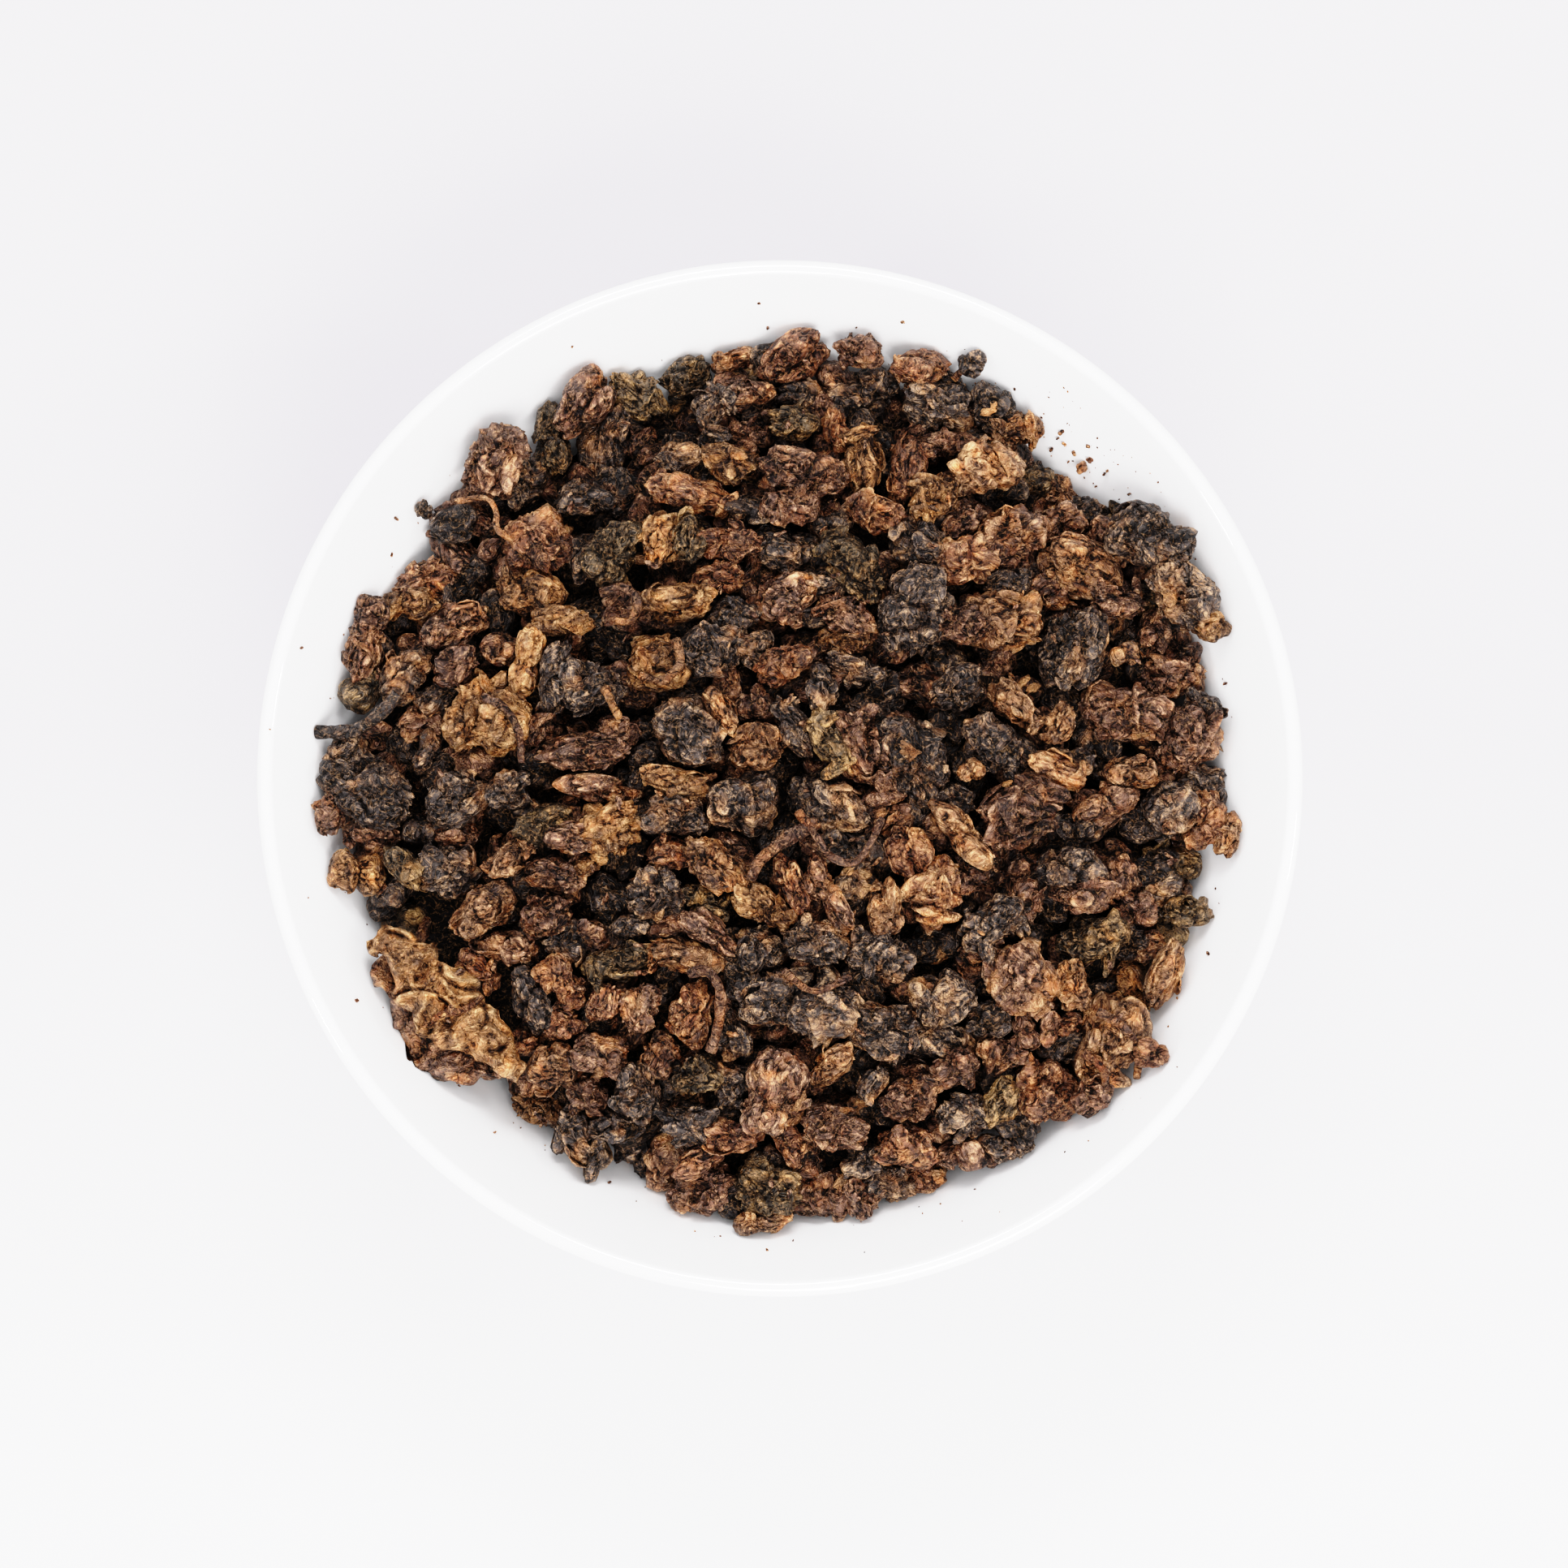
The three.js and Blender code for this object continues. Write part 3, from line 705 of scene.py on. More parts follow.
# ---- bowl ----------------------------------------------------------------------------------------------
def bowl_profile():
    """Radius and height, from the inside floor over the lip and down the outside to the middle of the underside."""
    p = []
    for i in range(41):
        r = INSIDE_R * (i / 40) ** 0.85
        p.append((r, float(inside_z(r))))

    def through(r):
        m = float(inside_slope(r))
        k = math.hypot(1, m)
        return m / k, -1 / k

    nx, nz = through(INSIDE_R)
    cx, cz = INSIDE_R + nx * LIP_THICKNESS / 2, float(inside_z(INSIDE_R)) + nz * LIP_THICKNESS / 2
    start = math.atan2(-nz, -nx)
    for i in range(1, 14):
        a = start - math.pi * i / 14
        p.append((cx + math.cos(a) * LIP_THICKNESS / 2, cz + math.sin(a) * LIP_THICKNESS / 2))
    for i in range(31):
        r = INSIDE_R + (FOOT_JOIN_R - 1.6 - INSIDE_R) * (i / 30)
        nx, nz = through(r)
        t = wall_thickness(r)
        p.append((r + nx * t, float(inside_z(r)) + nz * t))
    join = p[-1][1]
    foot = [(FOOT_OUTER_R + 0.75, join - 1.0), (FOOT_OUTER_R + 0.35, join - 2.3), (FOOT_OUTER_R, 0.9), (FOOT_OUTER_R - 0.25, 0.32),
            (FOOT_FLAT_OUTER_R, 0), (FOOT_FLAT_INNER_R, 0), (FOOT_INNER_R + 0.22, 0.30), (FOOT_INNER_R, 0.8),
            (FOOT_INNER_R - 0.5, UNDERSIDE_Z - 0.5), (FOOT_INNER_R - 0.95, UNDERSIDE_Z - 0.12), (FOOT_INNER_R - 1.6, UNDERSIDE_Z), (8.0, UNDERSIDE_Z + 0.18), (0, UNDERSIDE_Z + 0.3)]
    return p + foot


def make_bowl(material):
    prof = bowl_profile()
    n = 176
    verts, faces = [], []
    ring = []
    for r, z in prof:
        if r == 0:
            ring.append([len(verts)])
            verts.append((0, 0, z * MM))
        else:
            ring.append(list(range(len(verts), len(verts) + n)))
            for k in range(n):
                a = 2 * math.pi * k / n
                verts.append((r * math.cos(a) * MM, r * math.sin(a) * MM, z * MM))
    for a, b in zip(ring, ring[1:]):
        for k in range(n):
            j = (k + 1) % n
            if len(a) == 1:
                faces.append((a[0], b[j], b[k])[::-1])
            elif len(b) == 1:
                faces.append((a[k], a[j], b[0]))
            else:
                faces.append((a[k], a[j], b[j], b[k]))
    me = bpy.data.meshes.new("porcelain_bowl")
    me.from_pydata(verts, [], faces)
    bm = bmesh.new()
    bm.from_mesh(me)
    bmesh.ops.recalc_face_normals(bm, faces=bm.faces)
    bm.to_mesh(me)
    bm.free()
    me.shade_smooth()
    ob = bpy.data.objects.new("porcelain_bowl", me)
    scene.collection.objects.link(ob)
    me.materials.append(material)
    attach(ob, "root")
    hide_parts("bowl")
    return ob


# ---- where the leaves lie ---------------------------------------------------------------------------
# one row for each rolled leaf that shows: across and down in the 1932-pixel picture, length, width (same pixels),
# turn (degrees, against the clock), tone, kind, rank (0 sunk between its neighbours, 1 in the layer, 2 on top)
LEAVES = [
    # far left
    (614, 573, 104, 76, 60, "b", "l", 1), (682, 545, 104, 54, 100, "o-", "r", 1), (752, 535, 122, 66, 80, "d", "p", 2),
    (650, 597, 76, 46, 75, "d", "w", 0), (725, 618, 87, 44, -10, "d", "k", 1), (722, 508, 90, 56, 60, "b-", "s", 0),
    (784, 486, 84, 56, -40, "o+", "r", 1), (570, 635, 82, 50, -20, "b-", "w", 1), (522, 628, 24, 24, 0, "d", "k", 1),
    (565, 685, 117, 56, -60, "b-", "r", 2), (665, 672, 92, 78, 0, "r", "w", 1), (650, 730, 92, 62, -20, "g-", "p", 1),
    (752, 682, 92, 68, 80, "o-", "k", 2), (715, 690, 62, 34, 80, "d", "s", 0), (530, 715, 92, 58, -10, "r", "w", 1),
    (508, 745, 77, 52, 0, "g-", "r", 0), (455, 768, 74, 48, 70, "b-", "k", 1), (560, 770, 88, 58, 10, "b-", "w", 1),
    (690, 764, 84, 38, 5, "g", "r", 1), (762, 745, 60, 46, 30, "b", "p", 0), (622, 800, 60, 44, 0, "b-", "w", 0),
    # far middle
    (845, 458, 66, 54, 40, "o-", "w", 1), (905, 440, 62, 32, 15, "b", "l", 1), (975, 444, 88, 56, 40, "r", "s", 1),
    (940, 447, 36, 32, 0, "b", "w", 0), (1057, 438, 66, 44, 0, "b", "w", 1), (1055, 478, 112, 68, 0, "d", "k", 2),
    (1130, 462, 72, 48, 0, "r", "w", 0), (1160, 497, 102, 86, 0, "d", "k", 1), (1197, 455, 34, 32, 0, "d", "k", 1),
    (918, 482, 78, 52, 0, "b", "w", 1), (880, 498, 62, 52, 60, "d", "w", 1), (978, 520, 68, 46, 0, "o", "w", 1),
    (987, 487, 54, 34, 0, "d", "r", 0), (898, 572, 74, 56, -10, "g-", "w", 1), (992, 582, 118, 60, -5, "b-", "k", 2),
    (838, 565, 60, 44, 0, "d", "w", 0), (855, 608, 122, 50, -12, "r", "r", 1), (880, 537, 40, 28, 0, "d", "k", 0),
    (925, 535, 58, 30, -8, "b", "r", 0), (1062, 565, 97, 48, 100, "g-", "l", 1), (1118, 580, 92, 50, 75, "r-", "r", 1),
    (1030, 532, 62, 42, 90, "r", "w", 0), (1168, 550, 80, 36, 0, "b", "r", 0), (812, 665, 82, 60, 80, "g-", "w", 1),
    (852, 665, 62, 44, 80, "o-", "w", 1), (902, 668, 84, 52, -10, "r-", "p", 1), (972, 625, 78, 58, 0, "b", "w", 1),
    (972, 680, 68, 54, 0, "d", "s", 0), (1050, 695, 117, 66, -45, "o-", "k", 2), (1005, 717, 84, 48, 0, "d", "w", 0),
    (970, 738, 78, 72, 0, "b", "w", 1), (885, 712, 66, 42, 0, "r", "w", 0), (835, 742, 102, 50, 5, "g-", "r", 1),
    (1048, 762, 92, 54, -30, "b-", "r", 1), (1128, 752, 122, 96, 60, "d", "k", 2), (1130, 670, 97, 68, -50, "d", "p", 1),
    (1078, 630, 74, 58, 0, "r", "l", 1), (1150, 614, 78, 62, 80, "g-", "w", 1), (1027, 645, 50, 40, 0, "d", "w", 0),
    (905, 760, 70, 44, 10, "d", "w", 0), (925, 630, 60, 40, 0, "d", "w", 0),
    # far right
    (1215, 577, 102, 72, 10, "t", "p", 2), (1250, 532, 78, 50, 10, "t-", "l", 1), (1195, 522, 74, 40, 0, "b", "r", 0),
    (1270, 584, 64, 44, 60, "d", "k", 1), (1307, 610, 78, 48, 100, "t", "r", 1), (1345, 627, 64, 50, 0, "d", "w", 1),
    (1367, 668, 74, 46, -50, "b", "w", 1), (1414, 674, 112, 86, -15, "d", "w", 1), (1376, 652, 70, 54, 60, "o-", "w", 1), (1248, 666, 102, 86, 20, "b", "p", 1),
    (1182, 642, 64, 46, 50, "b", "w", 0), (1187, 690, 78, 68, 0, "r", "w", 1), (1333, 700, 102, 74, -30, "t-", "s", 2),
    (1310, 648, 64, 46, 0, "b", "w", 0), (1377, 738, 82, 54, 0, "b-", "w", 1), (1453, 740, 102, 80, -30, "d+", "w", 1),
    (1480, 780, 64, 46, 0, "g-", "w", 0), (1235, 763, 102, 86, 0, "t-", "p", 1), (1323, 800, 112, 86, 70, "d", "k", 2),
    (1243, 718, 66, 38, 0, "d", "w", 0), (1420, 780, 66, 46, 60, "b", "w", 0), (1178, 770, 74, 56, 0, "b-", "w", 1),
    (1290, 730, 60, 44, 0, "b-", "w", 0),
    # left
    (450, 806, 87, 52, 75, "b", "r", 1), (500, 830, 88, 58, 60, "d", "l", 1), (455, 975, 127, 98, -15, "d", "k", 2),
    (565, 985, 88, 76, 0, "d", "w", 1), (625, 972, 60, 54, 0, "d", "w", 1), (600, 880, 117, 106, 0, "g", "w", 2),
    (650, 815, 92, 38, 80, "g", "s", 1), (685, 835, 92, 44, 85, "d", "r", 1), (728, 848, 84, 68, 0, "d", "w", 1),
    (715, 925, 132, 58, 10, "b-", "w", 1), (738, 972, 102, 32, 0, "b", "s", 0), (525, 930, 52, 30, 50, "d", "k", 0),
    (518, 892, 56, 44, 0, "b", "w", 0), (440, 1075, 64, 56, 0, "g-", "s", 1), (500, 1070, 78, 40, -55, "o", "r", 1),
    (555, 1075, 74, 68, 0, "d", "w", 1), (630, 1050, 82, 46, 50, "t-", "p", 1), (597, 1120, 88, 62, 20, "t-", "w", 1),
    (672, 1012, 66, 48, 0, "o-", "w", 1), (700, 1032, 56, 40, 0, "b", "s", 1), (685, 1077, 82, 48, -20, "b-", "w", 1),
    (753, 1020, 84, 72, 0, "g", "w", 1), (728, 1063, 40, 30, 0, "g", "l", 0), (673, 1130, 66, 58, 0, "b-", "p", 1),
    (455, 1025, 84, 42, 0, "b", "w", 0), (510, 1130, 64, 46, 0, "d", "w", 0), (620, 1162, 82, 46, 0, "b", "w", 0),
    (545, 860, 60, 44, 40, "d", "w", 0), (560, 1030, 60, 40, 0, "b-", "w", 0), (430, 930, 60, 50, 60, "d", "w", 0),
    (665, 900, 60, 40, 40, "b-", "w", 0), (560, 820, 66, 50, 20, "b-", "w", 1), (410, 1010, 50, 40, 80, "b-", "w", 0),
    # middle
    (815, 817, 88, 76, 0, "g-", "l", 1), (870, 803, 92, 72, 0, "d", "w", 1), (925, 802, 56, 46, 0, "d", "k", 0),
    (965, 818, 78, 50, 25, "r", "w", 1), (1053, 828, 78, 38, -15, "d", "r", 0), (1040, 790, 64, 44, 0, "g-", "w", 0),
    (1012, 850, 64, 42, -70, "d", "s", 1), (852, 905, 102, 86, -45, "d+", "k", 2), (890, 878, 68, 34, -65, "t", "s", 1),
    (932, 920, 78, 62, 0, "t-", "p", 1), (978, 895, 88, 42, -55, "d+", "r", 1), (930, 870, 50, 40, 0, "b", "w", 0),
    (1022, 915, 92, 44, -68, "o+", "r", 2), (1070, 936, 142, 74, -64, "b", "w", 2), (1128, 937, 126, 82, -60, "d", "w", 2), (832, 962, 92, 36, -10, "g", "r", 1), (833, 1003, 88, 56, 0, "d", "w", 1),
    (915, 990, 88, 76, 0, "d", "s", 1), (1020, 990, 112, 64, -40, "d", "w", 1), (825, 1050, 60, 44, 0, "r-", "w", 0),
    (880, 1067, 88, 58, -35, "t-", "w", 1), (940, 1117, 82, 50, -30, "g-", "w", 1), (975, 1090, 82, 42, -75, "r", "r", 1),
    (1050, 1090, 56, 48, 0, "d+", "w", 0), (1090, 1120, 78, 46, -80, "t", "r", 1), (1120, 1050, 68, 54, -70, "r", "s", 1),
    (810, 1100, 78, 68, 0, "d", "w", 1), (870, 1112, 64, 38, -20, "o", "r", 0), (1150, 1103, 97, 72, -80, "r+", "l", 1),
    (1005, 1160, 82, 62, 0, "d", "w", 1), (1006, 1078, 60, 34, -80, "b", "s", 1), (1032, 1122, 66, 32, -58, "b", "r", 1), (876, 1150, 84, 36, -42, "b", "s", 1), (937, 1168, 64, 52, 0, "d", "w", 0), (785, 1132, 56, 42, 0, "d", "s", 0),
    (1040, 1045, 70, 56, 0, "d", "w", 0), (1095, 1010, 60, 46, 0, "b-", "w", 0), (760, 900, 60, 40, 0, "b-", "w", 0),
    # right
    (1228, 923, 107, 68, -25, "d", "w", 1), (1197, 948, 34, 30, 0, "t", "s", 1), (1258, 1000, 132, 88, 30, "b-", "l", 2),
    (1183, 1028, 102, 46, -35, "t", "s", 2), (1175, 987, 50, 40, 0, "d", "w", 0), (1253, 870, 92, 42, -45, "t", "l", 1),
    (1307, 893, 58, 36, 60, "t", "r", 1), (1300, 950, 82, 42, -20, "r+", "r", 1), (1383, 880, 117, 86, -25, "b", "w", 1),
    (1443, 833, 97, 58, 0, "b", "w", 1), (1463, 910, 90, 88, 0, "b-", "w", 1), (1360, 988, 92, 50, 10, "b", "w", 1),
    (1330, 1022, 60, 34, 0, "d", "s", 0), (1435, 1000, 78, 68, 0, "d", "s", 1), (1485, 1010, 82, 58, 85, "r", "w", 0),
    (1508, 1030, 62, 34, 80, "t", "l", 1), (1440, 1060, 88, 58, -15, "o", "w", 1), (1440, 1102, 78, 54, 0, "d", "k", 1),
    (1318, 1068, 84, 50, -10, "d", "s", 1), (1330, 1098, 104, 62, 0, "b-", "p", 1), (1380, 1080, 56, 42, 90, "b", "w", 0), (1225, 1138, 102, 62, 35, "d+", "w", 1),
    (1262, 1110, 54, 42, 90, "b", "w", 0), (1347, 1157, 97, 62, 0, "o-", "w", 1), (1463, 1125, 64, 40, 0, "o", "w", 0),
    (1392, 952, 78, 42, 0, "t-", "w", 1), (1425, 1160, 64, 46, 0, "b", "w", 0), (1480, 962, 64, 42, 0, "d", "w", 0),
    (1482, 872, 54, 42, 0, "d", "w", 0), (1385, 806, 36, 30, 0, "t", "s", 1), (1180, 850, 76, 60, 30, "d", "w", 1),
    (1190, 1080, 60, 46, 0, "b-", "w", 0), (1400, 1120, 56, 44, 0, "b-", "w", 0), (1320, 940, 60, 40, 0, "d", "w", 0),
    # near left
    (590, 1195, 64, 38, -40, "r", "w", 0), (655, 1232, 82, 46, -75, "d", "s", 1), (693, 1212, 78, 50, -50, "r", "w", 1),
    (640, 1172, 50, 36, 0, "b", "w", 0), (760, 1190, 92, 50, 15, "o-", "w", 1), (745, 1237, 54, 42, 60, "r", "w", 1),
    (693, 1262, 46, 42, 0, "r", "w", 1), (642, 1285, 44, 32, 0, "r", "w", 0), (680, 1312, 68, 62, 0, "t-", "r", 1),
    (740, 1300, 68, 62, 0, "b-", "w", 1), (660, 1360, 72, 50, -40, "g-", "w", 1), (715, 1405, 97, 58, -50, "d+", "p", 1),
    (785, 1348, 82, 62, 80, "d", "k", 1), (787, 1400, 72, 58, 0, "d", "k", 1), (748, 1390, 46, 36, 0, "d", "w", 0),
    (700, 1165, 60, 46, 0, "d", "w", 0), (610, 1300, 56, 44, 30, "b-", "w", 0), (725, 1350, 54, 44, 0, "b-", "w", 0),
    # near middle
    (845, 1177, 112, 48, -5, "t-", "w", 1), (788, 1242, 64, 52, 80, "b", "w", 1), (850, 1250, 84, 58, 75, "r", "p", 1),
    (915, 1192, 78, 50, 75, "d", "s", 1), (985, 1235, 162, 90, 0, "d+", "l", 2), (1082, 1177, 88, 58, -20, "d", "w", 1),
    (1087, 1270, 97, 76, 0, "d", "w", 1), (902, 1274, 64, 42, -70, "d", "r", 0), (955, 1345, 112, 86, 80, "b", "w", 2),
    (1025, 1312, 72, 42, 35, "t", "r", 1), (860, 1325, 68, 50, 0, "o-", "w", 1), (1030, 1390, 88, 66, 0, "b-", "w", 1),
    (1075, 1335, 50, 34, 60, "d", "r", 1), (1122, 1352, 82, 62, 0, "b-", "w", 1), (1118, 1415, 78, 58, 0, "r", "w", 1),
    (900, 1399, 88, 50, 0, "r", "w", 1), (850, 1385, 72, 60, 0, "d", "w", 1), (865, 1462, 88, 72, 0, "b-", "w", 1),
    (862, 1430, 72, 34, 20, "r", "s", 1), (838, 1478, 34, 30, 0, "b", "k", 0), (945, 1465, 92, 78, 0, "o-", "w", 1),
    (945, 1503, 64, 34, 0, "t", "r", 0), (1015, 1465, 97, 62, 0, "b-", "w", 1), (1060, 1470, 64, 46, -70, "b", "w", 1),
    (1095, 1458, 64, 52, 0, "d", "w", 0), (1138, 1450, 56, 36, 0, "r", "w", 0), (975, 1412, 56, 34, -60, "r", "w", 0),
    (1025, 1260, 60, 50, 0, "b-", "w", 0), (815, 1300, 56, 44, 60, "b-", "w", 0), (820, 1435, 56, 46, 0, "b-", "w", 0),
    (1065, 1430, 60, 44, 0, "d", "w", 0), (905, 1335, 54, 46, 0, "d", "w", 0),
    # near right
    (1160, 1235, 88, 72, 0, "d+", "w", 1), (1258, 1207, 117, 92, -60, "b", "w", 2), (1322, 1215, 68, 44, -75, "t-", "w", 1),
    (1217, 1257, 56, 44, 0, "d", "w", 0), (1265, 1274, 50, 34, -50, "b", "w", 0), (1292, 1267, 40, 28, 60, "b", "r", 0),
    (1318, 1262, 36, 28, 0, "r", "w", 0), (1310, 1288, 64, 44, 0, "d", "w", 0), (1370, 1283, 127, 88, 75, "t-", "p", 2),
    (1395, 1212, 72, 48, -60, "g-", "w", 1), (1435, 1200, 92, 46, 70, "t-", "r", 1), (1232, 1358, 68, 50, 80, "o+", "w", 1),
    (1287, 1345, 97, 84, 0, "r", "w", 1), (1187, 1375, 72, 58, 0, "d", "w", 1), (1177, 1317, 64, 54, 0, "b-", "w", 1),
    (1167, 1284, 72, 42, -15, "d", "s", 0), (1240, 1413, 72, 42, -10, "d", "w", 1), (1174, 1422, 46, 36, 0, "b", "w", 0),
    (1235, 1298, 64, 46, 0, "b", "w", 0), (1413, 1302, 44, 36, 0, "r", "w", 0), (1150, 1447, 34, 28, 0, "t", "s", 0),
    (1205, 1180, 60, 46, 0, "b-", "w", 0), (1345, 1350, 60, 46, 60, "b-", "w", 0),
]


def shadow_of(px, py, sink):
    """The point that a pixel shows, at a depth under the mound's surface."""
    z = MOUND_TOP_Z
    for _ in range(5):
        p = on_height(px, py, z)
        z = float(mound_z(math.hypot(p[0], p[1]))) - sink
    return on_height(px, py, z)


def floor_gap(v):
    """Least height of the points over the bowl's inside."""
    r = np.hypot(v[:, 0], v[:, 1])
    return float((v[:, 2] - inside_z(r)).min())


def lean_with_mound(x, y):
    """Tilts that follow the mound's slope at a place."""
    r = max(1e-6, math.hypot(x, y))
    slope = (MOUND_TOP_Z - MOUND_EDGE_Z) * MOUND_POWER / HEAP_EDGE_R * (min(r, HEAP_EDGE_R) / HEAP_EDGE_R) ** (MOUND_POWER - 1)
    a = math.atan(slope)
    return -a * y / r, a * x / r


def settle(v, seat, x_limit=None):
    """Moves a piece up or down so that it clears the bowl, or rests on it where it should."""
    gap = floor_gap(v)
    if gap < 0.12:
        v = v + np.array([0, 0, 0.12 - gap])
    elif seat and gap > 0.12:
        v = v - np.array([0, 0, min(gap - 0.12, 6.5)])
    return v


def lay_leaves(piles, rows=None):
    """The leaves that show, each on the spot where it lies. Returns their footprints and some thin copies."""
    rng = np.random.default_rng(20)
    big, small, forms = ball(6), ball(5), lobe_forms()
    feet, spare = [], []
    for row, (px, py, length, width, angle, tone, kind, rank) in enumerate(LEAVES):
        shake = np.random.default_rng(900 + row)
        grow = 1.14 if rank == 0 else 1.09
        ln, wd = length / PX_PER_MM * grow, width / PX_PER_MM * grow
        tall = min(max(0.62 * ln, 0.85 * wd) * shake.uniform(0.88, 1.05), wd * 1.15, 8.6)
        sink = (2.1, 0.4, -0.9)[rank] + shake.uniform(-0.35, 0.35)
        mid = shadow_of(px, py, sink + tall / 2)
        lx, ly = lean_with_mound(mid[0], mid[1])
        rot = turn(math.radians(angle), lx * 0.8 + shake.uniform(-0.16, 0.16), ly * 0.8 + shake.uniform(-0.16, 0.16))
        tiny = length < 46
        budget = 560 if tiny else int(min(5400, max(1400, 2500 * ln * wd / 40.0)) * (0.62 if rank == 0 else 1.0))
        if rows is not None and row not in rows:
            continue
        v, t, attrs = leaf_ball(5000 + 17 * row, small if tiny or rank == 0 and length < 62 else big, forms, kind, (ln, wd, tall), budget, tiny)
        side = unit(shake.normal(size=3))
        lift = {"+": 0.45, "-": -0.45}.get(tone[1:], 0.0) + shake.uniform(-0.15, 0.15)
        attrs["tone"] = attrs["tone"] + lift + (v / max(ln, wd)) @ side * shake.uniform(0.2, 1.3)
        rest = v + shake.uniform(-400, 400, 3)
        placed = v @ rot.T + mid
        reach = float(np.hypot(placed[:, 0], placed[:, 1]).max())
        placed = settle(placed, reach > float(outline_radius(math.atan2(mid[1], mid[0]))) - 1.5)
        piles[tone[0] + ("2" if tone[0] in "db" and kind != "w" else "")].add(placed, t, attrs, rest)
        feet.append((float(placed[:, 0].mean()), float(placed[:, 1].mean()), ln / 2, wd / 2, math.radians(angle)))
    for k in range(44):
        p, f, attrs = rolled_leaf(2000 + k, small, "wrkp"[k % 4], (7.0, 5.4, 4.8))
        spare.append(thinned(p, f, attrs, 440))
    return feet, spare


def lay_hidden(piles, feet, spare):
    """The leaves just under those that show, where a gap lets them be seen."""
    rng = np.random.default_rng(31)
    f = np.array(feet)
    count = 0
    bearing, away = np.arctan2(f[:, 1], f[:, 0]), np.hypot(f[:, 0], f[:, 1]) + 0.35 * f[:, 3]

    def reach(a):
        near = np.abs((bearing - a + math.pi) % (2 * math.pi) - math.pi) < math.radians(6.5)
        return float(away[near].max()) if near.any() else HEAP_EDGE_R - 3

    for layer, (step, sink, size) in enumerate(((5.0, 3.6, (6.6, 5.2, 4.6)),)):
        rows = int(46 / (step * 0.866)) + 1
        for j in range(-rows, rows + 1):
            for i in range(-rows, rows + 1):
                x = (i + 0.5 * (j % 2)) * step + rng.uniform(-0.9, 0.9)
                y = j * step * 0.866 + rng.uniform(-0.9, 0.9)
                r, a = math.hypot(x, y), math.atan2(y, x)
                edge = reach(a)
                scale = rng.uniform(0.85, 1.12) * (0.82 if r > edge - 6 else 1.0)
                ln, wd, tall = (s * scale * rng.uniform(0.9, 1.1) for s in size)
                if r > edge - 1.9:
                    continue
                if layer == 0:
                    # only where a gap between the upper leaves lets it show
                    dx, dy = x - f[:, 0], y - f[:, 1]
                    c, s = np.cos(f[:, 4]), np.sin(f[:, 4])
                    u = (dx * c + dy * s) / f[:, 2]
                    w = (-dx * s + dy * c) / f[:, 3]
                    if (u * u + w * w).min() < 0.16:
                        continue
                v, t, attrs = spare[rng.integers(len(spare))]
                lo, hi = v.min(0), v.max(0)
                v = (v - (lo + hi) / 2) / (hi - lo) * np.array([ln, wd, tall])
                if rng.random() < 0.5:
                    v, t = v * [1, -1, 1], t[:, ::-1]
                lx, ly = lean_with_mound(x, y)
                rot = turn(rng.uniform(0, 6.28), lx + rng.uniform(-0.4, 0.4), ly + rng.uniform(-0.4, 0.4))
                z = float(mound_z(r)) - sink - tall / 2 + rng.uniform(-0.5, 0.5)
                placed = settle(v @ rot.T + [x, y, z], r > edge - 6)
                extra = dict(attrs)
                # the leaves under the top layer are painted darker, as the shade that falls on them
                extra["tone"] = attrs["tone"] - 0.75 + rng.uniform(-0.4, 0.3)
                key = "under_a" if count % 2 else "under_b"
                piles[key].add(placed, t, extra, v + rng.uniform(-400, 400, 3))
                count += 1
    return count


def lay_edge(piles, spare):
    """Small leaves on the glaze wherever the camera would see porcelain inside the heap's outline."""
    rng = np.random.default_rng(52)
    seen = [p for k, p in piles.items() if k not in ("crumbs", "bits", "flakes") and p.n]
    starts = np.cumsum([0] + [p.n for p in seen])
    verts = np.concatenate([np.concatenate(p.v) for p in seen])
    faces = np.concatenate([np.concatenate(p.f) + s for p, s in zip(seen, starts)])
    tree = BVHTree.FromPolygons(verts.tolist(), faces.tolist())
    laid = []
    for inward in (2.6, 4.4, 6.2, 8.0):
        for k in range(180):
            a = math.radians(2.0 * k) + rng.uniform(-0.01, 0.01)
            r = float(outline_radius(a)) - inward
            x, y = r * math.cos(a), r * math.sin(a)
            z = max(float(mound_z(r)) - 3.2, float(inside_z(r)) + 1.9)
            at = np.array([x, y, z])
            if any(np.hypot(*(at - b)[:2]) < 2.5 for b in laid):
                continue
            way = unit(at - EYE)
            hit = tree.ray_cast(Vector(EYE), Vector(way))
            if hit[0] is not None and hit[0][2] > z - 3.0:
                continue
            v, t, attrs = spare[rng.integers(len(spare))]
            lo, hi = v.min(0), v.max(0)
            v = (v - (lo + hi) / 2) / (hi - lo) * np.array([6.0, 4.7, 4.2]) * rng.uniform(0.8, 1.12)
            lx, ly = lean_with_mound(x, y)
            rot = turn(rng.uniform(0, 6.28), lx + rng.uniform(-0.3, 0.3), ly + rng.uniform(-0.3, 0.3))
            placed = settle(v @ rot.T + at, True)
            extra = dict(attrs)
            extra["tone"] = attrs["tone"] - 0.2 + rng.uniform(-0.5, 0.5)
            piles[rng.choice(("b", "under_a", "under_b", "o"))].add(placed, t, extra, v + rng.uniform(-400, 400, 3))
            laid.append(at)
    return len(laid)


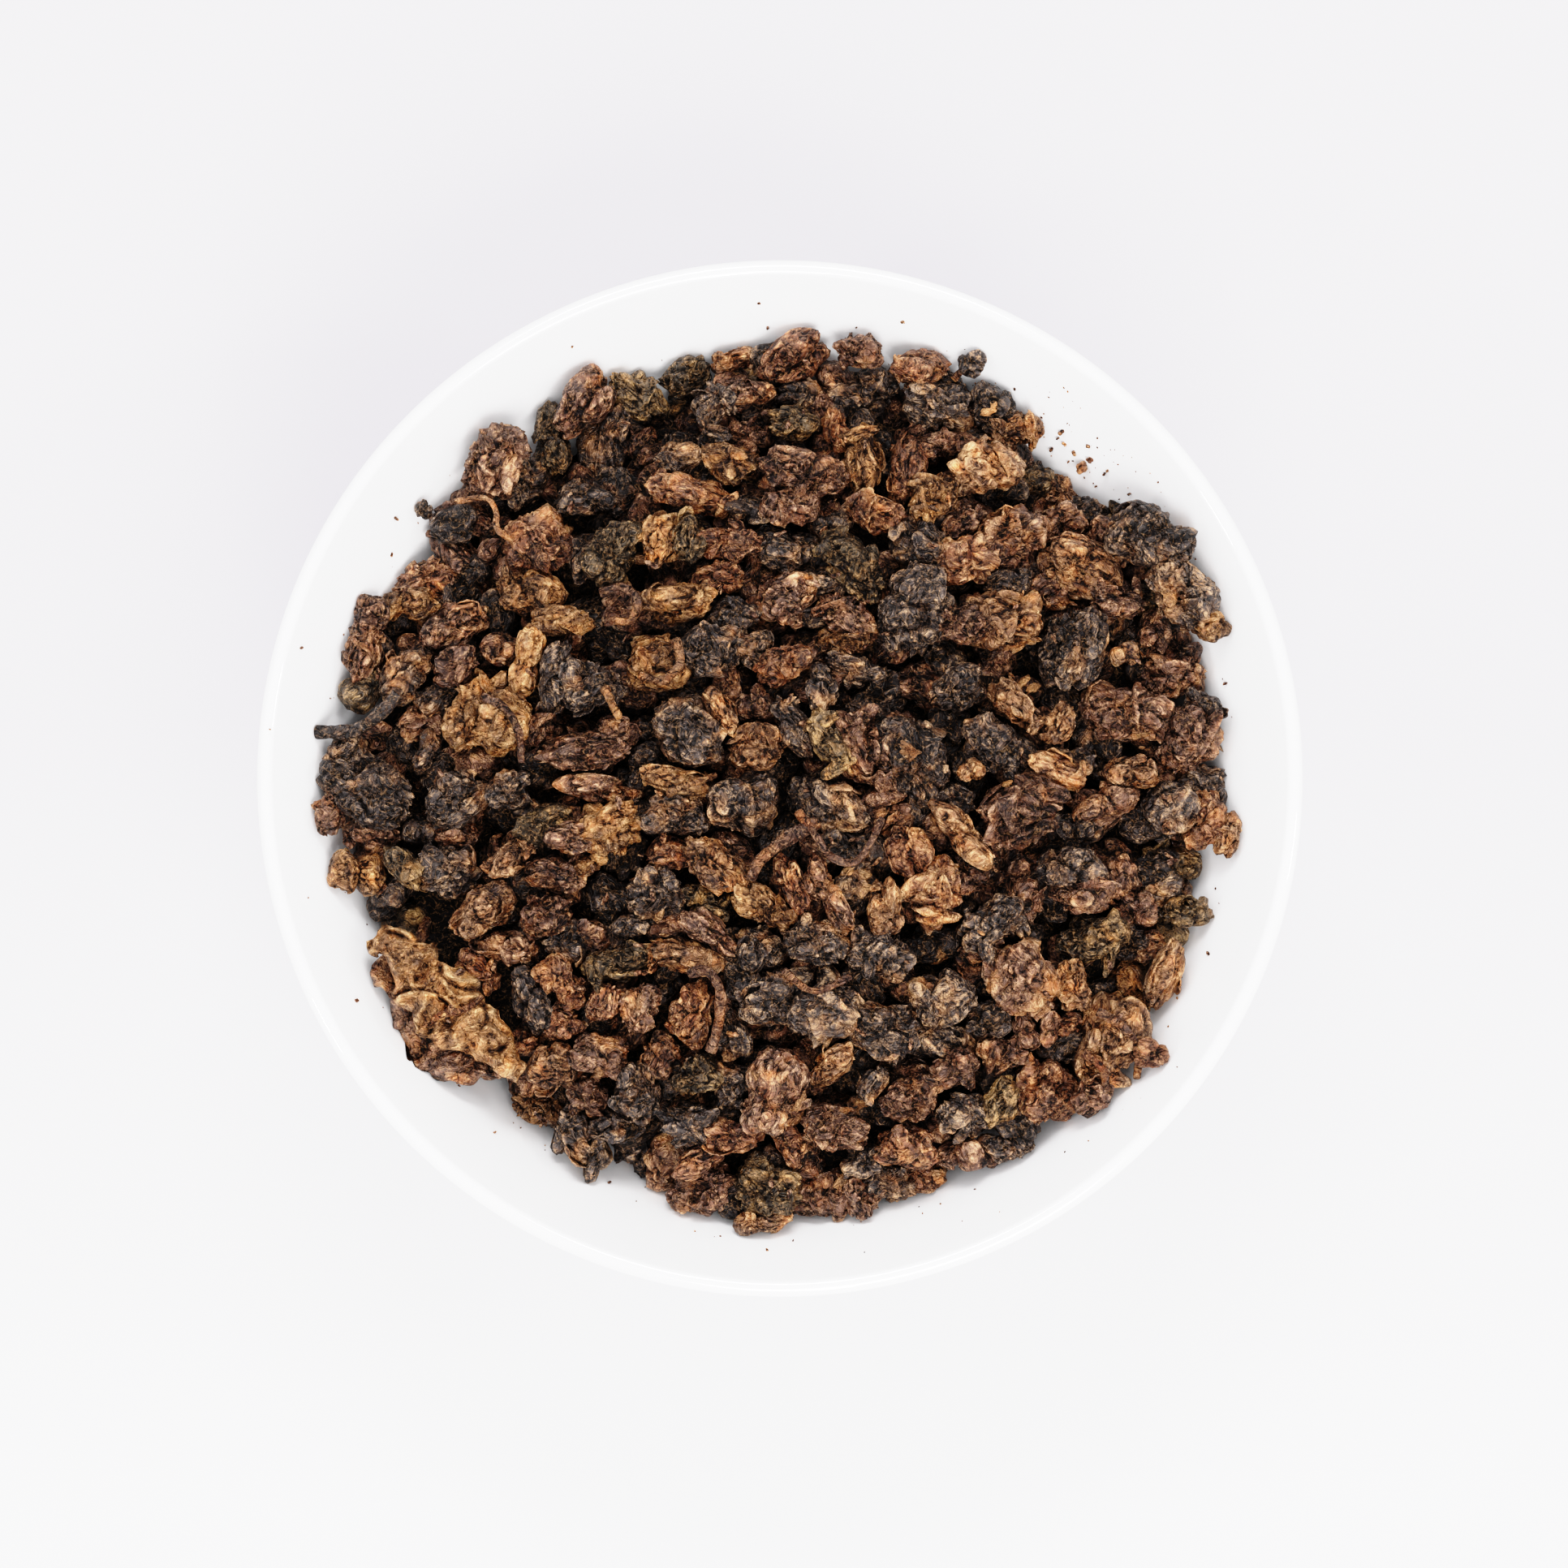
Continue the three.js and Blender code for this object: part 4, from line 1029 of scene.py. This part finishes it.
def make_core(material):
    """A rough body inside, painted dark as shade, for what can't be seen between the leaves."""
    rng = np.random.default_rng(5)
    noise = Noise(rng)
    n, rings = 120, 44
    verts, faces = [], []

    def top_z(r):
        return mound_z(r) - CORE_DEPTH

    r_edge = 0.0
    for k in range(400):
        r = k * 0.125
        if top_z(r) > inside_z(r) + 1.2:
            r_edge = r
    top = []
    for k in range(rings + 1):
        r = r_edge * k / rings
        top.append(r)
    index = []
    for k, r in enumerate(top):
        ring = []
        for i in range(n if k else 1):
            a = 2 * math.pi * i / n
            ring.append(len(verts))
            verts.append((r * math.cos(a), r * math.sin(a), float(top_z(r))))
        index.append(ring)
    bottom = []
    for k in range(rings, -1, -1):
        r = r_edge * k / rings
        ring = []
        for i in range(n if k else 1):
            a = 2 * math.pi * i / n
            ring.append(len(verts))
            verts.append((r * math.cos(a), r * math.sin(a), float(inside_z(r) + CORE_GAP * math.hypot(1, inside_slope(r)))))
        bottom.append(ring)
    v = np.array(verts)
    around = outline_radius(np.arctan2(v[:, 1], v[:, 0]))
    v[:, :2] *= np.minimum(1.0, (around - 4.5) / r_edge)[:, None]
    far = np.hypot(v[:, 0], v[:, 1])
    sunk = inside_z(far) + CORE_GAP * np.hypot(1, inside_slope(far))
    v[:, 2] = np.where(np.arange(len(v)) <= index[-1][-1], np.maximum(mound_z(far) - CORE_DEPTH, sunk + 0.6), sunk)
    up = np.zeros(len(v), bool)
    up[:index[-1][-1] + 1] = True
    rough = np.abs(noise(v * 0.22)) * 2.2 + np.abs(noise(v * 0.6 + 9)) * 0.9 + np.abs(noise(v * 1.5 + 3)) * 0.35
    v[up, 2] += (rough - 1.0)[up] * np.clip((r_edge - np.hypot(v[up, 0], v[up, 1])) / 3, 0, 1)
    index += bottom
    for a, b in zip(index, index[1:]):
        for k in range(n):
            j = (k + 1) % n
            if len(a) == 1:
                faces.append((a[0], b[k], b[j]))
            elif len(b) == 1:
                faces.append((a[k], b[0], a[j]))
            else:
                faces += [(a[k], b[k], b[j]), (a[k], b[j], a[j])]
    pile = Pile()
    # low ridge and tone values paint the core dark, as the shade deep between the leaves
    pile.add(v, np.array(faces), {"ridge": rough - 2.2, "tone": np.full(len(v), -0.5)}, v.copy())
    return pile.make("tea_core", material)


def tube(path, radii, sides=14, rough=0.0, seed=0, flat=1.0, groove=0.0):
    """A stalk along a path of points, closed at both ends, with a cut face at each. Returns v, f, end flags."""
    rng = np.random.default_rng(seed)
    noise = Noise(rng)
    path = np.array(path, float)
    n = len(path)
    tang = unit(np.gradient(path, axis=0))
    ref = np.array([0.0, 0.0, 1.0])
    verts, cut = [], []
    for i in range(n):
        a = ref - (ref @ tang[i]) * tang[i]
        if np.linalg.norm(a) < 0.2:
            a = np.array([1.0, 0, 0]) - tang[i][0] * tang[i]
        a = a / np.linalg.norm(a)
        b = np.cross(tang[i], a)
        for k in range(sides):
            t = 2 * math.pi * k / sides
            verts.append(path[i] + radii[i] * (flat * math.cos(t) * a + math.sin(t) * b))
            cut.append(0.0)
    v = np.array(verts)
    if rough:
        c = np.repeat(path, sides, 0)
        out = v - c
        amount = noise(v * 1.6) * 0.5 + noise(v * 3.6 + 7) * 0.3
        around = np.tile(np.arange(sides), n)
        v = c + out * (1 + rough * amount[:, None] - groove * (np.cos(around * 2 * math.pi / sides * 4)[:, None] > 0.4))
    faces = []
    for i in range(n - 1):
        for k in range(sides):
            j = (k + 1) % sides
            a, b, c2, d = i * sides + k, i * sides + j, (i + 1) * sides + j, (i + 1) * sides + k
            faces += [(a, b, c2), (a, c2, d)]
    verts = list(v)
    for end, at in ((0, 0), (1, n - 1)):
        first = at * sides
        outward = tang[at] * (1 if end else -1)
        inner = len(verts)
        rim = v[first:first + sides]
        mid = rim.mean(0)
        for k in range(sides):
            verts.append(mid + (rim[k] - mid) * 0.80 + outward * radii[at] * 0.10)
            cut.append(1.0)
        centre = len(verts)
        verts.append(mid + outward * radii[at] * 0.04)
        cut.append(1.0)
        for k in range(sides):
            j = (k + 1) % sides
            quad = [(first + k, inner + k, inner + j), (first + k, inner + j, first + j), (inner + k, centre, inner + j)]
            faces += [q if end else q[::-1] for q in quad]
    f = np.array(faces)
    return np.array(verts), f if signed_volume(np.array(verts), f) > 0 else f[:, ::-1], np.array(cut)


def smooth_path(points, n):
    """A soft curve through a few points."""
    p = np.array(points, float)
    d = np.concatenate([[0], np.cumsum(np.linalg.norm(np.diff(p, axis=0), axis=1))])
    m = np.gradient(p, d, axis=0)
    out = []
    for t in np.linspace(0, d[-1], n):
        i = min(len(p) - 2, int(np.searchsorted(d, t, side="right") - 1))
        h = d[i + 1] - d[i]
        s = (t - d[i]) / h
        out.append((2 * s ** 3 - 3 * s ** 2 + 1) * p[i] + (s ** 3 - 2 * s ** 2 + s) * h * m[i] + (-2 * s ** 3 + 3 * s ** 2) * p[i + 1] + (s ** 3 - s ** 2) * h * m[i + 1])
    return np.array(out)


# stalks and smooth rolled strips: points across, down and millimetres over the mound; radius at both ends; tone
STALKS = [
    ([(392, 904, -1.6), (440, 902, -0.6), (470, 882, 0.0), (492, 858, -0.4)], 0.85, 0.75, "d"),
    ([(560, 618, -0.4), (604, 617, 0.3), (612, 634, 0.4), (612, 650, 0.0), (632, 668, -0.8)], 0.34, 0.36, "t"),
    ([(595, 858, 0.5), (622, 872, 1.0), (640, 905, 0.8), (642, 938, -0.4)], 0.52, 0.42, "b"),
    ([(745, 848, 0.3), (752, 862, 0.6), (762, 884, -0.2)], 0.55, 0.42, "g"),
    ([(740, 730, -1.2), (765, 722, -0.6), (785, 738, -0.6), (778, 762, -1.0), (752, 764, -1.6)], 0.56, 0.46, "b"),
    ([(832, 788, 0.6), (838, 812, 0.8), (815, 838, 0.5), (790, 832, -0.2)], 0.54, 0.46, "t"),
    ([(1006, 1014, -0.6), (982, 1027, 0.2), (957, 1043, 0.4), (938, 1060, 0.1), (926, 1082, -0.9)], 0.92, 0.60, "b"),
    ([(983, 1000, 0.0), (1004, 1028, 0.4), (1024, 1056, 0.3), (1052, 1062, 0.2), (1074, 1036, 0.4), (1088, 1008, -0.2)], 0.50, 0.42, "b"),
    ([(850, 1199, -0.6), (869, 1196, 0.3), (884, 1214, 0.6), (886, 1252, 0.4), (875, 1296, -0.8)], 0.58, 0.64, "b"),
    ([(966, 1196, -0.4), (1000, 1220, 0.5), (1048, 1202, -0.4)], 0.42, 0.40, "b"),
    ([(1175, 468, -1.0), (1186, 458, -0.6), (1197, 452, -1.0)], 0.45, 0.42, "b"),
    ([(1352, 1246, 0.6), (1380, 1262, 1.5), (1402, 1290, 1.2), (1400, 1328, -0.2)], 0.52, 0.48, "b"),
    ([(1335, 1296, 0.4), (1356, 1314, 1.0), (1362, 1342, 0.0)], 0.50, 0.46, "r"),
    ([(822, 978, 0.2), (860, 962, 0.4), (880, 955, -0.4)], 0.45, 0.36, "g"),
    ([(522, 1266, 0.6), (545, 1250, 1.7), (572, 1244, 1.6), (592, 1228, 0.6)], 0.52, 0.34, "r"),
]


def lay_stalks(pile_of):
    rng = np.random.default_rng(77)
    for k, (pts, r0, r1, tone) in enumerate(STALKS):
        path = smooth_path([shadow_of(x, y, 0.2 - up) for x, y, up in pts], 26)
        path += np.cumsum(rng.normal(size=path.shape), 0) * 0.018
        s = np.linspace(0, 1, len(path))
        radii = (r0 + (r1 - r0) * s) * (1 + 0.10 * np.sin(s * rng.uniform(8, 14) + rng.uniform(0, 6)) + 0.06 * np.sin(s * rng.uniform(20, 30)))
        v, f, cut = tube(path, radii, 14, 0.24, 900 + k, rng.uniform(0.72, 0.92), 0.10)
        gap = floor_gap(v)
        if gap < 0.1:
            v = v + [0, 0, 0.1 - gap]
        noise = Noise(rng)
        attrs = {"ridge": 0.5 * noise(v * 2.0), "hollow_shade": np.zeros(len(v)), "tone": 0.15 + 1.6 * cut + 0.3 * noise(v * 0.7)}
        pile_of(tone).add(v, f, attrs, v + rng.uniform(-300, 300, 3))


def flake(rng, ln, wd, thick, curl):
    """A bit of leaf skin: a thin closed curled chip with a ragged outline."""
    n, rings = 26, 6
    noise = Noise(rng)
    angle = np.linspace(0, 2 * math.pi, n, endpoint=False)
    edge = 0.9 + 0.55 * noise(np.stack([np.cos(angle), np.sin(angle), np.zeros(n)], 1) * 1.5 + 5) + rng.uniform(-0.10, 0.10, n)
    verts, faces = [], []
    for face in (1, -1):
        base = len(verts)
        verts.append((0, 0, face * thick / 2))
        for k in range(1, rings + 1):
            for i in range(n):
                q = edge[i] * k / rings
                rim = 1 - 0.6 * (k / rings) ** 4
                verts.append((math.cos(angle[i]) * q * ln / 2, math.sin(angle[i]) * q * wd / 2, face * thick / 2 * rim))
        for i in range(n):
            j = (i + 1) % n
            faces.append((base, base + 1 + i, base + 1 + j)[::face])
            for k in range(rings - 1):
                a, b = base + 1 + k * n + i, base + 1 + k * n + j
                c, d = b + n, a + n
                faces += [(a, d, c)[::face], (a, c, b)[::face]]
    half = 1 + rings * n
    o = 1 + (rings - 1) * n
    for i in range(n):
        j = (i + 1) % n
        a, b, c, d = o + i, o + j, half + o + j, half + o + i
        faces += [(a, c, b)[::1], (a, d, c)[::1]]
    v = np.array(verts, float)
    bend = curl * (v[:, 1] / wd * 2) ** 2 * wd * 0.4 + curl * 0.4 * (v[:, 0] / ln * 2) ** 2 * ln * 0.3
    flat = v * [1, 1, 0]
    v[:, 2] += bend + 0.20 * wd * noise(flat * 1.3 / max(0.4, wd) + 2) + 0.10 * wd * noise(flat * 3.4 / max(0.4, wd) + 8)
    f = np.array(faces)
    return v, f if signed_volume(v, f) > 0 else f[:, ::-1]


# the big crumpled leaf by the near left edge: across, down, half width (pixels), along its middle
BIG_LEAF = [(452, 1164, 7), (476, 1164, 21), (503, 1186, 35), (528, 1214, 42), (550, 1242, 47), (578, 1262, 37), (602, 1285, 29), (626, 1306, 21), (644, 1322, 8)]


def big_leaf(line, seed, sink, crown, nu=84, nv=36, fold=0.75):
    """A leaf crumpled nearly flat, with a ragged turned-up rim."""
    rng = np.random.default_rng(seed)
    noise, second, ragged = Noise(rng), Noise(rng), Noise(rng)
    line = np.array(line, float)
    mid = smooth_path([shadow_of(x, y, sink) for x, y, _ in line], nu)
    at = np.concatenate([[0], np.cumsum(np.hypot(*np.diff(line[:, :2], axis=0).T))])
    half = np.interp(np.linspace(0, at[-1], nu), at, line[:, 2]) / PX_PER_MM
    tang = np.gradient(mid, axis=0)
    side = unit(np.stack([-tang[:, 1], tang[:, 0], np.zeros(nu)], 1))
    v = np.linspace(-1, 1, nv)
    grid = mid[:, None, :] + side[:, None, :] * (half[:, None] * v[None, :])[..., None]
    flat = grid.reshape(-1, 3) * [1, 1, 0]
    edge = np.abs(v)[None, :] ** 3 * np.ones((nu, 1))
    jag = ragged(flat * 0.40).reshape(nu, nv) * 1.4 + ragged(flat * 1.1 + 9).reshape(nu, nv) * 0.35
    grid[..., :2] += side[:, None, :2] * (np.sign(v)[None, :] * edge * jag)[..., None]
    grid[..., :2] += unit(tang)[:, None, :2] * (edge * 0.8 * ragged(flat * 0.9 + 30).reshape(nu, nv))[..., None]
    flat = grid.reshape(-1, 3) * [1, 1, 0]
    bent = flat * 0.30 + 0.8 * np.stack([second(flat * 0.22 + k) for k in (1.0, 17.0, 33.0)], 1)

    def crease(field, width):
        return np.clip(1 - np.abs(field) / width, 0, 1)

    folds = crease(noise(bent * 0.85), 0.20) - crease(noise(bent * 0.85 + 40), 0.20)
    small = crease(second(flat * 0.55 + 5), 0.22) - crease(noise(flat * 0.60 + 21), 0.22)
    tiny = crease(second(flat * 1.3 + 3), 0.25)
    crumple = (1.15 * fold * folds + 0.30 * fold * small + 0.12 * tiny + 0.9 * noise(flat * 0.25 + 60)).reshape(nu, nv)
    bulk = crown * (1 - v[None, :] ** 2) ** 0.55 * np.sin(np.linspace(0.12, math.pi - 0.12, nu))[:, None] ** 0.5
    curl = 0.9 * edge ** 2 * noise(flat * 0.35 + 50).reshape(nu, nv)
    top, low = grid.copy(), grid.copy()
    top[..., 2] += bulk * 0.6 + crumple + curl + 0.14
    low[..., 2] += -bulk * 0.5 + crumple * (0.4 + 0.6 * edge) + curl - 0.14
    p, f = closed_sheet(top, low)
    e = np.concatenate([f[:, [0, 1]], f[:, [1, 2]], f[:, [2, 0]]])
    # raised folds make the colour paler, partly rubbed wear and partly painted highlight; broad hollows make it darker
    # as painted shade
    near = p[:, 2] - blur(p[:, 2], e, 6)
    wide = p[:, 2] - blur(p[:, 2], e, 60)
    tone = 0.25 * second(p * 0.35) + np.tile((0.35 * edge).ravel(), 2)
    return p, f, {"ridge": np.clip(near / (np.abs(near).mean() * 2.2), -2, 2), "hollow_shade": np.clip(wide / (np.abs(wide).mean() * 2.2), -2, 2), "tone": tone}


def rest_on_bowl(v, gap=0.12):
    """Lifts only the points that would go into the porcelain."""
    r = np.hypot(v[:, 0], v[:, 1])
    floor = inside_z(r) + gap * np.hypot(1, inside_slope(r))
    out = v.copy()
    out[:, 2] = np.maximum(out[:, 2], floor)
    return out


def lay_big_leaf(piles):
    v, f, attrs = big_leaf(BIG_LEAF, 71, 0.9, 3.2)
    v = rest_on_bowl(v, 0.3)
    piles["g"].add(v, f, attrs | {"tone": attrs["tone"] + 0.4}, v + 37.0)
    under = [(x + dx, y + dy, w * 0.8) for (x, y, w), (dx, dy) in zip(BIG_LEAF[1:8], ((-6, 16), (-12, 22), (-14, 26), (-20, 34), (-26, 42), (-10, 22), (-4, 12)))]
    v, f, attrs = big_leaf(under, 72, 3.0, 2.6, 60, 24, 0.5)
    v = rest_on_bowl(v, 0.12)
    piles["b"].add(v, f, attrs, v - 91.0)


# pale and golden bits of skin stuck on the leaves: across, down, length, width (pixels), turn, curl
FLAKES = [
    (787, 1240, 30, 13, 80, 0.5), (1158, 1182, 28, 20, 20, 0.7), (1060, 1365, 24, 17, 40, 0.6), (1240, 965, 16, 10, 0, 0.5),
    (1383, 762, 16, 11, 30, 0.6), (738, 1322, 22, 12, 60, 0.5), (1120, 925, 34, 20, -30, 0.5), (1035, 1455, 26, 16, 20, 0.6),
    (595, 895, 24, 18, 10, 0.4), (1218, 505, 24, 16, 40, 0.7), (1262, 838, 26, 12, 60, 0.8), (1274, 848, 24, 11, 20, 0.8),
    (985, 1360, 26, 16, 70, 0.5), (930, 1325, 20, 12, 20, 0.5), (1404, 905, 22, 12, 0, 0.6), (690, 740, 20, 10, 30, 0.5),
]

# crumbs that fell on the glaze, and in the heap's outer gaps: across, down, size in millimetres
CRUMBS = [
    (1307, 534, 0.75), (1303, 541, 0.45), (1311, 548, 0.55), (1295, 555, 0.6), (1323, 560, 0.7), (1340, 551, 0.6), (1342, 568, 0.8),
    (1332, 579, 1.5), (1360, 585, 0.55), (1364, 581, 0.4), (1211, 472, 0.6), (1391, 610, 0.5), (1484, 727, 0.6), (1509, 843, 0.6),
    (372, 799, 0.45), (333, 899, 0.3), (935, 375, 0.4), (945, 1540, 0.4), (804, 1437, 0.6), (751, 1457, 0.45), (489, 640, 0.6),
    (483, 684, 0.5), (440, 1233, 0.5), (556, 1330, 0.4), (566, 1338, 0.3), (946, 405, 0.5), (1112, 398, 0.5), (1488, 1175, 0.5),
    (705, 428, 0.35), (1250, 480, 0.35), (1283, 515, 0.3), (1350, 600, 0.35), (1316, 570, 0.4), (1450, 1230, 0.35), (610, 1395, 0.4),
]


def crumb_forms():
    forms = []
    mesh = ball(4)
    for k in range(6):
        p, f, attrs = rolled_leaf(7700 + k, mesh, ("w", "k", "l")[k % 3], (1.0, 0.78, 0.62))
        forms.append(thinned(p, f, attrs, 150, False))
    return forms


def lay_crumbs(pile):
    rng = np.random.default_rng(12)
    forms = crumb_forms()

    def put(x, y, size, on_z):
        v, t, attrs = forms[rng.integers(len(forms))]
        s = np.array([1, rng.uniform(0.7, 1.1), rng.uniform(0.6, 1.0)]) * size
        rot = turn(rng.uniform(0, 6.28), rng.uniform(-0.5, 0.5), rng.uniform(-0.5, 0.5))
        w = (v * s) @ rot.T
        w = w + [x, y, on_z + size]
        w = w - [0, 0, floor_gap(w) - 0.02]
        extra = dict(attrs)
        extra["tone"] = attrs["tone"] + rng.uniform(-0.6, 0.9)
        pile.add(w, t, extra, w + rng.uniform(-200, 200, 3))

    for px, py, size in CRUMBS:
        z = 38.0
        for _ in range(8):
            p = on_height(px, py, z)
            z = float(inside_z(math.hypot(p[0], p[1])))
        put(p[0], p[1], size, z)
    # finer dust, most of it by the upper right edge of the heap
    for k in range(150):
        if k % 3 == 0:
            a, r = math.radians(rng.normal(48, 10)), rng.uniform(45.5, 50.5)
        else:
            a = rng.uniform(0, 2 * math.pi)
            r = float(outline_radius(a)) + 0.3 + rng.exponential(0.9)
        if r > 51.0:
            continue
        put(r * math.cos(a), r * math.sin(a), rng.uniform(0.10, 0.26), float(inside_z(r)))


def lay_flakes(pile, tree):
    rng = np.random.default_rng(8)
    for px, py, ln, wd, angle, curl in FLAKES:
        d = ray(px, py)
        hit = tree.ray_cast(Vector(EYE), Vector(d))
        if hit[0] is None:
            continue
        at, normal = np.array(hit[0]), np.array(hit[1])
        if normal @ d > 0:
            normal = -normal
        around = tree.find_nearest_range(hit[0], 0.9)
        n = sum((np.array(x[1]) for x in around), np.zeros(3)) if around else normal
        normal = n / np.linalg.norm(n) if np.linalg.norm(n) > 0.3 else normal
        if normal[2] < 0:
            normal = -normal
        v, f = flake(rng, ln / PX_PER_MM * 1.1, wd / PX_PER_MM * 1.1, 0.16, -curl)
        c, s = math.cos(math.radians(angle)), math.sin(math.radians(angle))
        x = np.array([c, s, 0.0])
        x = unit(x - (x @ normal) * normal)
        y = np.cross(normal, x)
        placed = at + v[:, :1] * x + v[:, 1:2] * y + (v[:, 2:3] + 0.10) * normal
        # pressed down where it would stand clear of the leaf
        for i in range(len(placed)):
            near = tree.find_nearest(Vector(placed[i]))
            if near[0] is not None and near[3] > 0.35:
                placed[i] -= (placed[i] - np.array(near[0])) * (1 - 0.35 / near[3])
        pile.add(placed, f, {"tone": np.full(len(v), rng.uniform(-0.2, 0.5))}, v + rng.uniform(-200, 200, 3))


def lay_bits(pile, tree):
    """Broken bits and short ends caught in the hollows between the leaves."""
    rng = np.random.default_rng(61)
    forms = crumb_forms()
    placed = 0
    for _ in range(900):
        if placed >= 150:
            break
        r, a = 44.0 * math.sqrt(rng.random()), rng.uniform(0, 2 * math.pi)
        x, y = r * math.cos(a), r * math.sin(a)
        hit = tree.ray_cast(Vector((x, y, 80)), Vector((0, 0, -1)))
        if hit[0] is None or hit[1][2] < 0.35:
            continue
        depth = float(mound_z(r)) - hit[0][2]
        if depth < 0.8 and rng.random() < 0.85:
            continue
        size = rng.uniform(0.5, 1.3)
        v, t, attrs = forms[rng.integers(len(forms))]
        rot = turn(rng.uniform(0, 6.28), rng.uniform(-0.7, 0.7), rng.uniform(-0.7, 0.7))
        w = (v * np.array([1.3, rng.uniform(0.5, 0.9), 0.7]) * size) @ rot.T
        w = w + np.array(hit[0]) + [0, 0, 0.22 * size]
        if floor_gap(w) < 0.05:
            continue
        extra = dict(attrs)
        extra["tone"] = attrs["tone"] + rng.uniform(-0.3, 0.9)
        pile.add(w, t, extra, w + rng.uniform(-200, 200, 3))
        placed += 1


def make_floor():
    me = bpy.data.meshes.new("floor")
    s = 3.0
    me.from_pydata([(-s, -s, -0.0001), (s, -s, -0.0001), (s, s, -0.0001), (-s, s, -0.0001)], [], [(0, 1, 2, 3)])
    ob = bpy.data.objects.new("floor", me)
    scene.collection.objects.link(ob)
    m = Nodes("paper_floor")
    where = m.tree.nodes.new("ShaderNodeTexCoord").outputs["Object"]
    tint = m.ramp(m.noise(where, 1.5, 2.0), [(0.3, (0.555, 0.528, 0.575)), (0.7, (0.575, 0.548, 0.595))])
    # The floor is painted lighter towards the near side, where the light falls from the front: painted light.
    near = m.new("ShaderNodeMapRange", Value=m.new("ShaderNodeSeparateXYZ", Vector=where).outputs["Y"])
    near.inputs["From Min"].default_value = 0.01
    near.inputs["From Max"].default_value = -0.075
    m.put(m.shader.inputs["Base Color"], m.mix(near.outputs[0], tint, (0.80, 0.80, 0.81)))
    m.shader.inputs["Roughness"].default_value = 0.9
    m.shader.inputs["Specular IOR Level"].default_value = 0.1
    me.materials.append(m.material)
    ob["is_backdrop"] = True


def make_lights():
    world = bpy.data.worlds.new("studio")
    scene.world = world
    world.use_nodes = True
    back = world.node_tree.nodes["Background"]
    back.inputs["Color"].default_value = (0.97, 0.98, 1.0, 1)
    back.inputs["Strength"].default_value = 1.0

    def area(name, at, size, power, tint):
        li = bpy.data.lights.new(name, "AREA")
        li.shape = "RECTANGLE"
        li.size, li.size_y = size
        li.energy = power
        li.color = tint
        ob = bpy.data.objects.new(name, li)
        ob.location = at
        ob.rotation_euler = (-Vector(at)).to_track_quat("-Z", "Y").to_euler()
        scene.collection.objects.link(ob)

    area("window", (0.26, -0.80, 1.10), (0.84, 0.60), 9.7, (1.0, 0.99, 0.975))
    area("behind", (-0.02, 0.74, 1.06), (0.60, 0.36), 5.4, (1.0, 1.0, 1.0))
    area("sky", (-0.7, 0.25, 0.9), (0.7, 0.7), 0.6, (0.95, 0.97, 1.0))
    area("left", (-0.92, -0.36, 0.88), (0.13, 0.13), 1.2, (1.0, 1.0, 1.0))
    area("right", (0.98, 0.02, 0.82), (0.13, 0.13), 1.2, (1.0, 1.0, 1.0))
    area("front", (0.12, -1.02, 0.86), (0.11, 0.11), 1.0, (1.0, 1.0, 1.0))
    view = scene.view_settings
    view.view_transform = "Standard"
    # a camera's tone curve: deeper shadows and soft whites, over light up to twice the paper's
    view.use_curve_mapping = True
    tone = view.curve_mapping
    tone.white_level = (2.0, 2.0, 2.0)
    curve = tone.curves[3]
    for x, y in ((0.02, 0.008), (0.05, 0.035), (0.10, 0.107), (0.25, 0.338), (0.50, 0.676), (0.68, 0.830), (0.79, 0.870), (0.90, 0.892), (1.10, 0.916), (1.30, 0.932), (1.50, 0.950)):
        curve.points.new(x / 2, y)
    curve.points[-1].location = (1.0, 0.992)
    tone.update()


# ---- the whole ------------------------------------------------------------------------------------------
add_camera()
make_floor()
make_lights()
make_bowl(porcelain_material())

LEAF_PILES = ("d", "d2", "o", "b", "b2", "r", "t", "g", "under_a", "under_b")
piles = {k: Pile() for k in (*LEAF_PILES, "crumbs", "bits", "flakes")}
feet, spare = lay_leaves(piles)
lay_big_leaf(piles)
lay_stalks(lambda tone: piles[tone])
lay_hidden(piles, feet, spare)
lay_edge(piles, spare)
seen = [piles[k] for k in LEAF_PILES]
verts = np.concatenate([np.concatenate(p.v) for p in seen])
starts = np.cumsum([0] + [p.n for p in seen])
faces = np.concatenate([np.concatenate(p.f) + s for p, s in zip(seen, starts)])
tree = BVHTree.FromPolygons(verts.tolist(), faces.tolist())
lay_bits(piles["bits"], tree)
lay_flakes(piles["flakes"], tree)
lay_crumbs(piles["crumbs"])

NAMES = {"d": "tea_dark", "o": "tea_olive", "b": "tea_brown", "r": "tea_redbrown", "t": "tea_tan", "g": "tea_gold"}
skins = {k: leaf_material(NAMES[k], k) for k in NAMES}
for k, name in NAMES.items():
    piles[k].make(name, skins[k])
piles["d2"].make("tea_dark_rolled", skins["d"])
piles["b2"].make("tea_brown_rolled", skins["b"])
piles["under_a"].make("tea_under_brown", skins["b"])
piles["under_b"].make("tea_under_dark", skins["d"])
piles["bits"].make("tea_bits", skins["b"])
piles["flakes"].make("tea_flakes", leaf_material("tea_pale_skin", "g", 0.12, 0.55))
piles["crumbs"].make("tea_crumbs", skins["r"])
# the core's material is set darker, as painted shade
make_core(leaf_material("tea_deep_shade", "d", -0.2, 0.7))
for k, p in piles.items():
    print(k, p.faces(), "triangles")



def numbers(x):
    """A box as plain lists of numbers."""
    if isinstance(x, dict):
        return {k: numbers(y) for k, y in x.items()}
    return [numbers(y) for y in x] if hasattr(x, "__len__") else float(x)


{"cad": numbers(cad_box), "visual": numbers(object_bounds())}
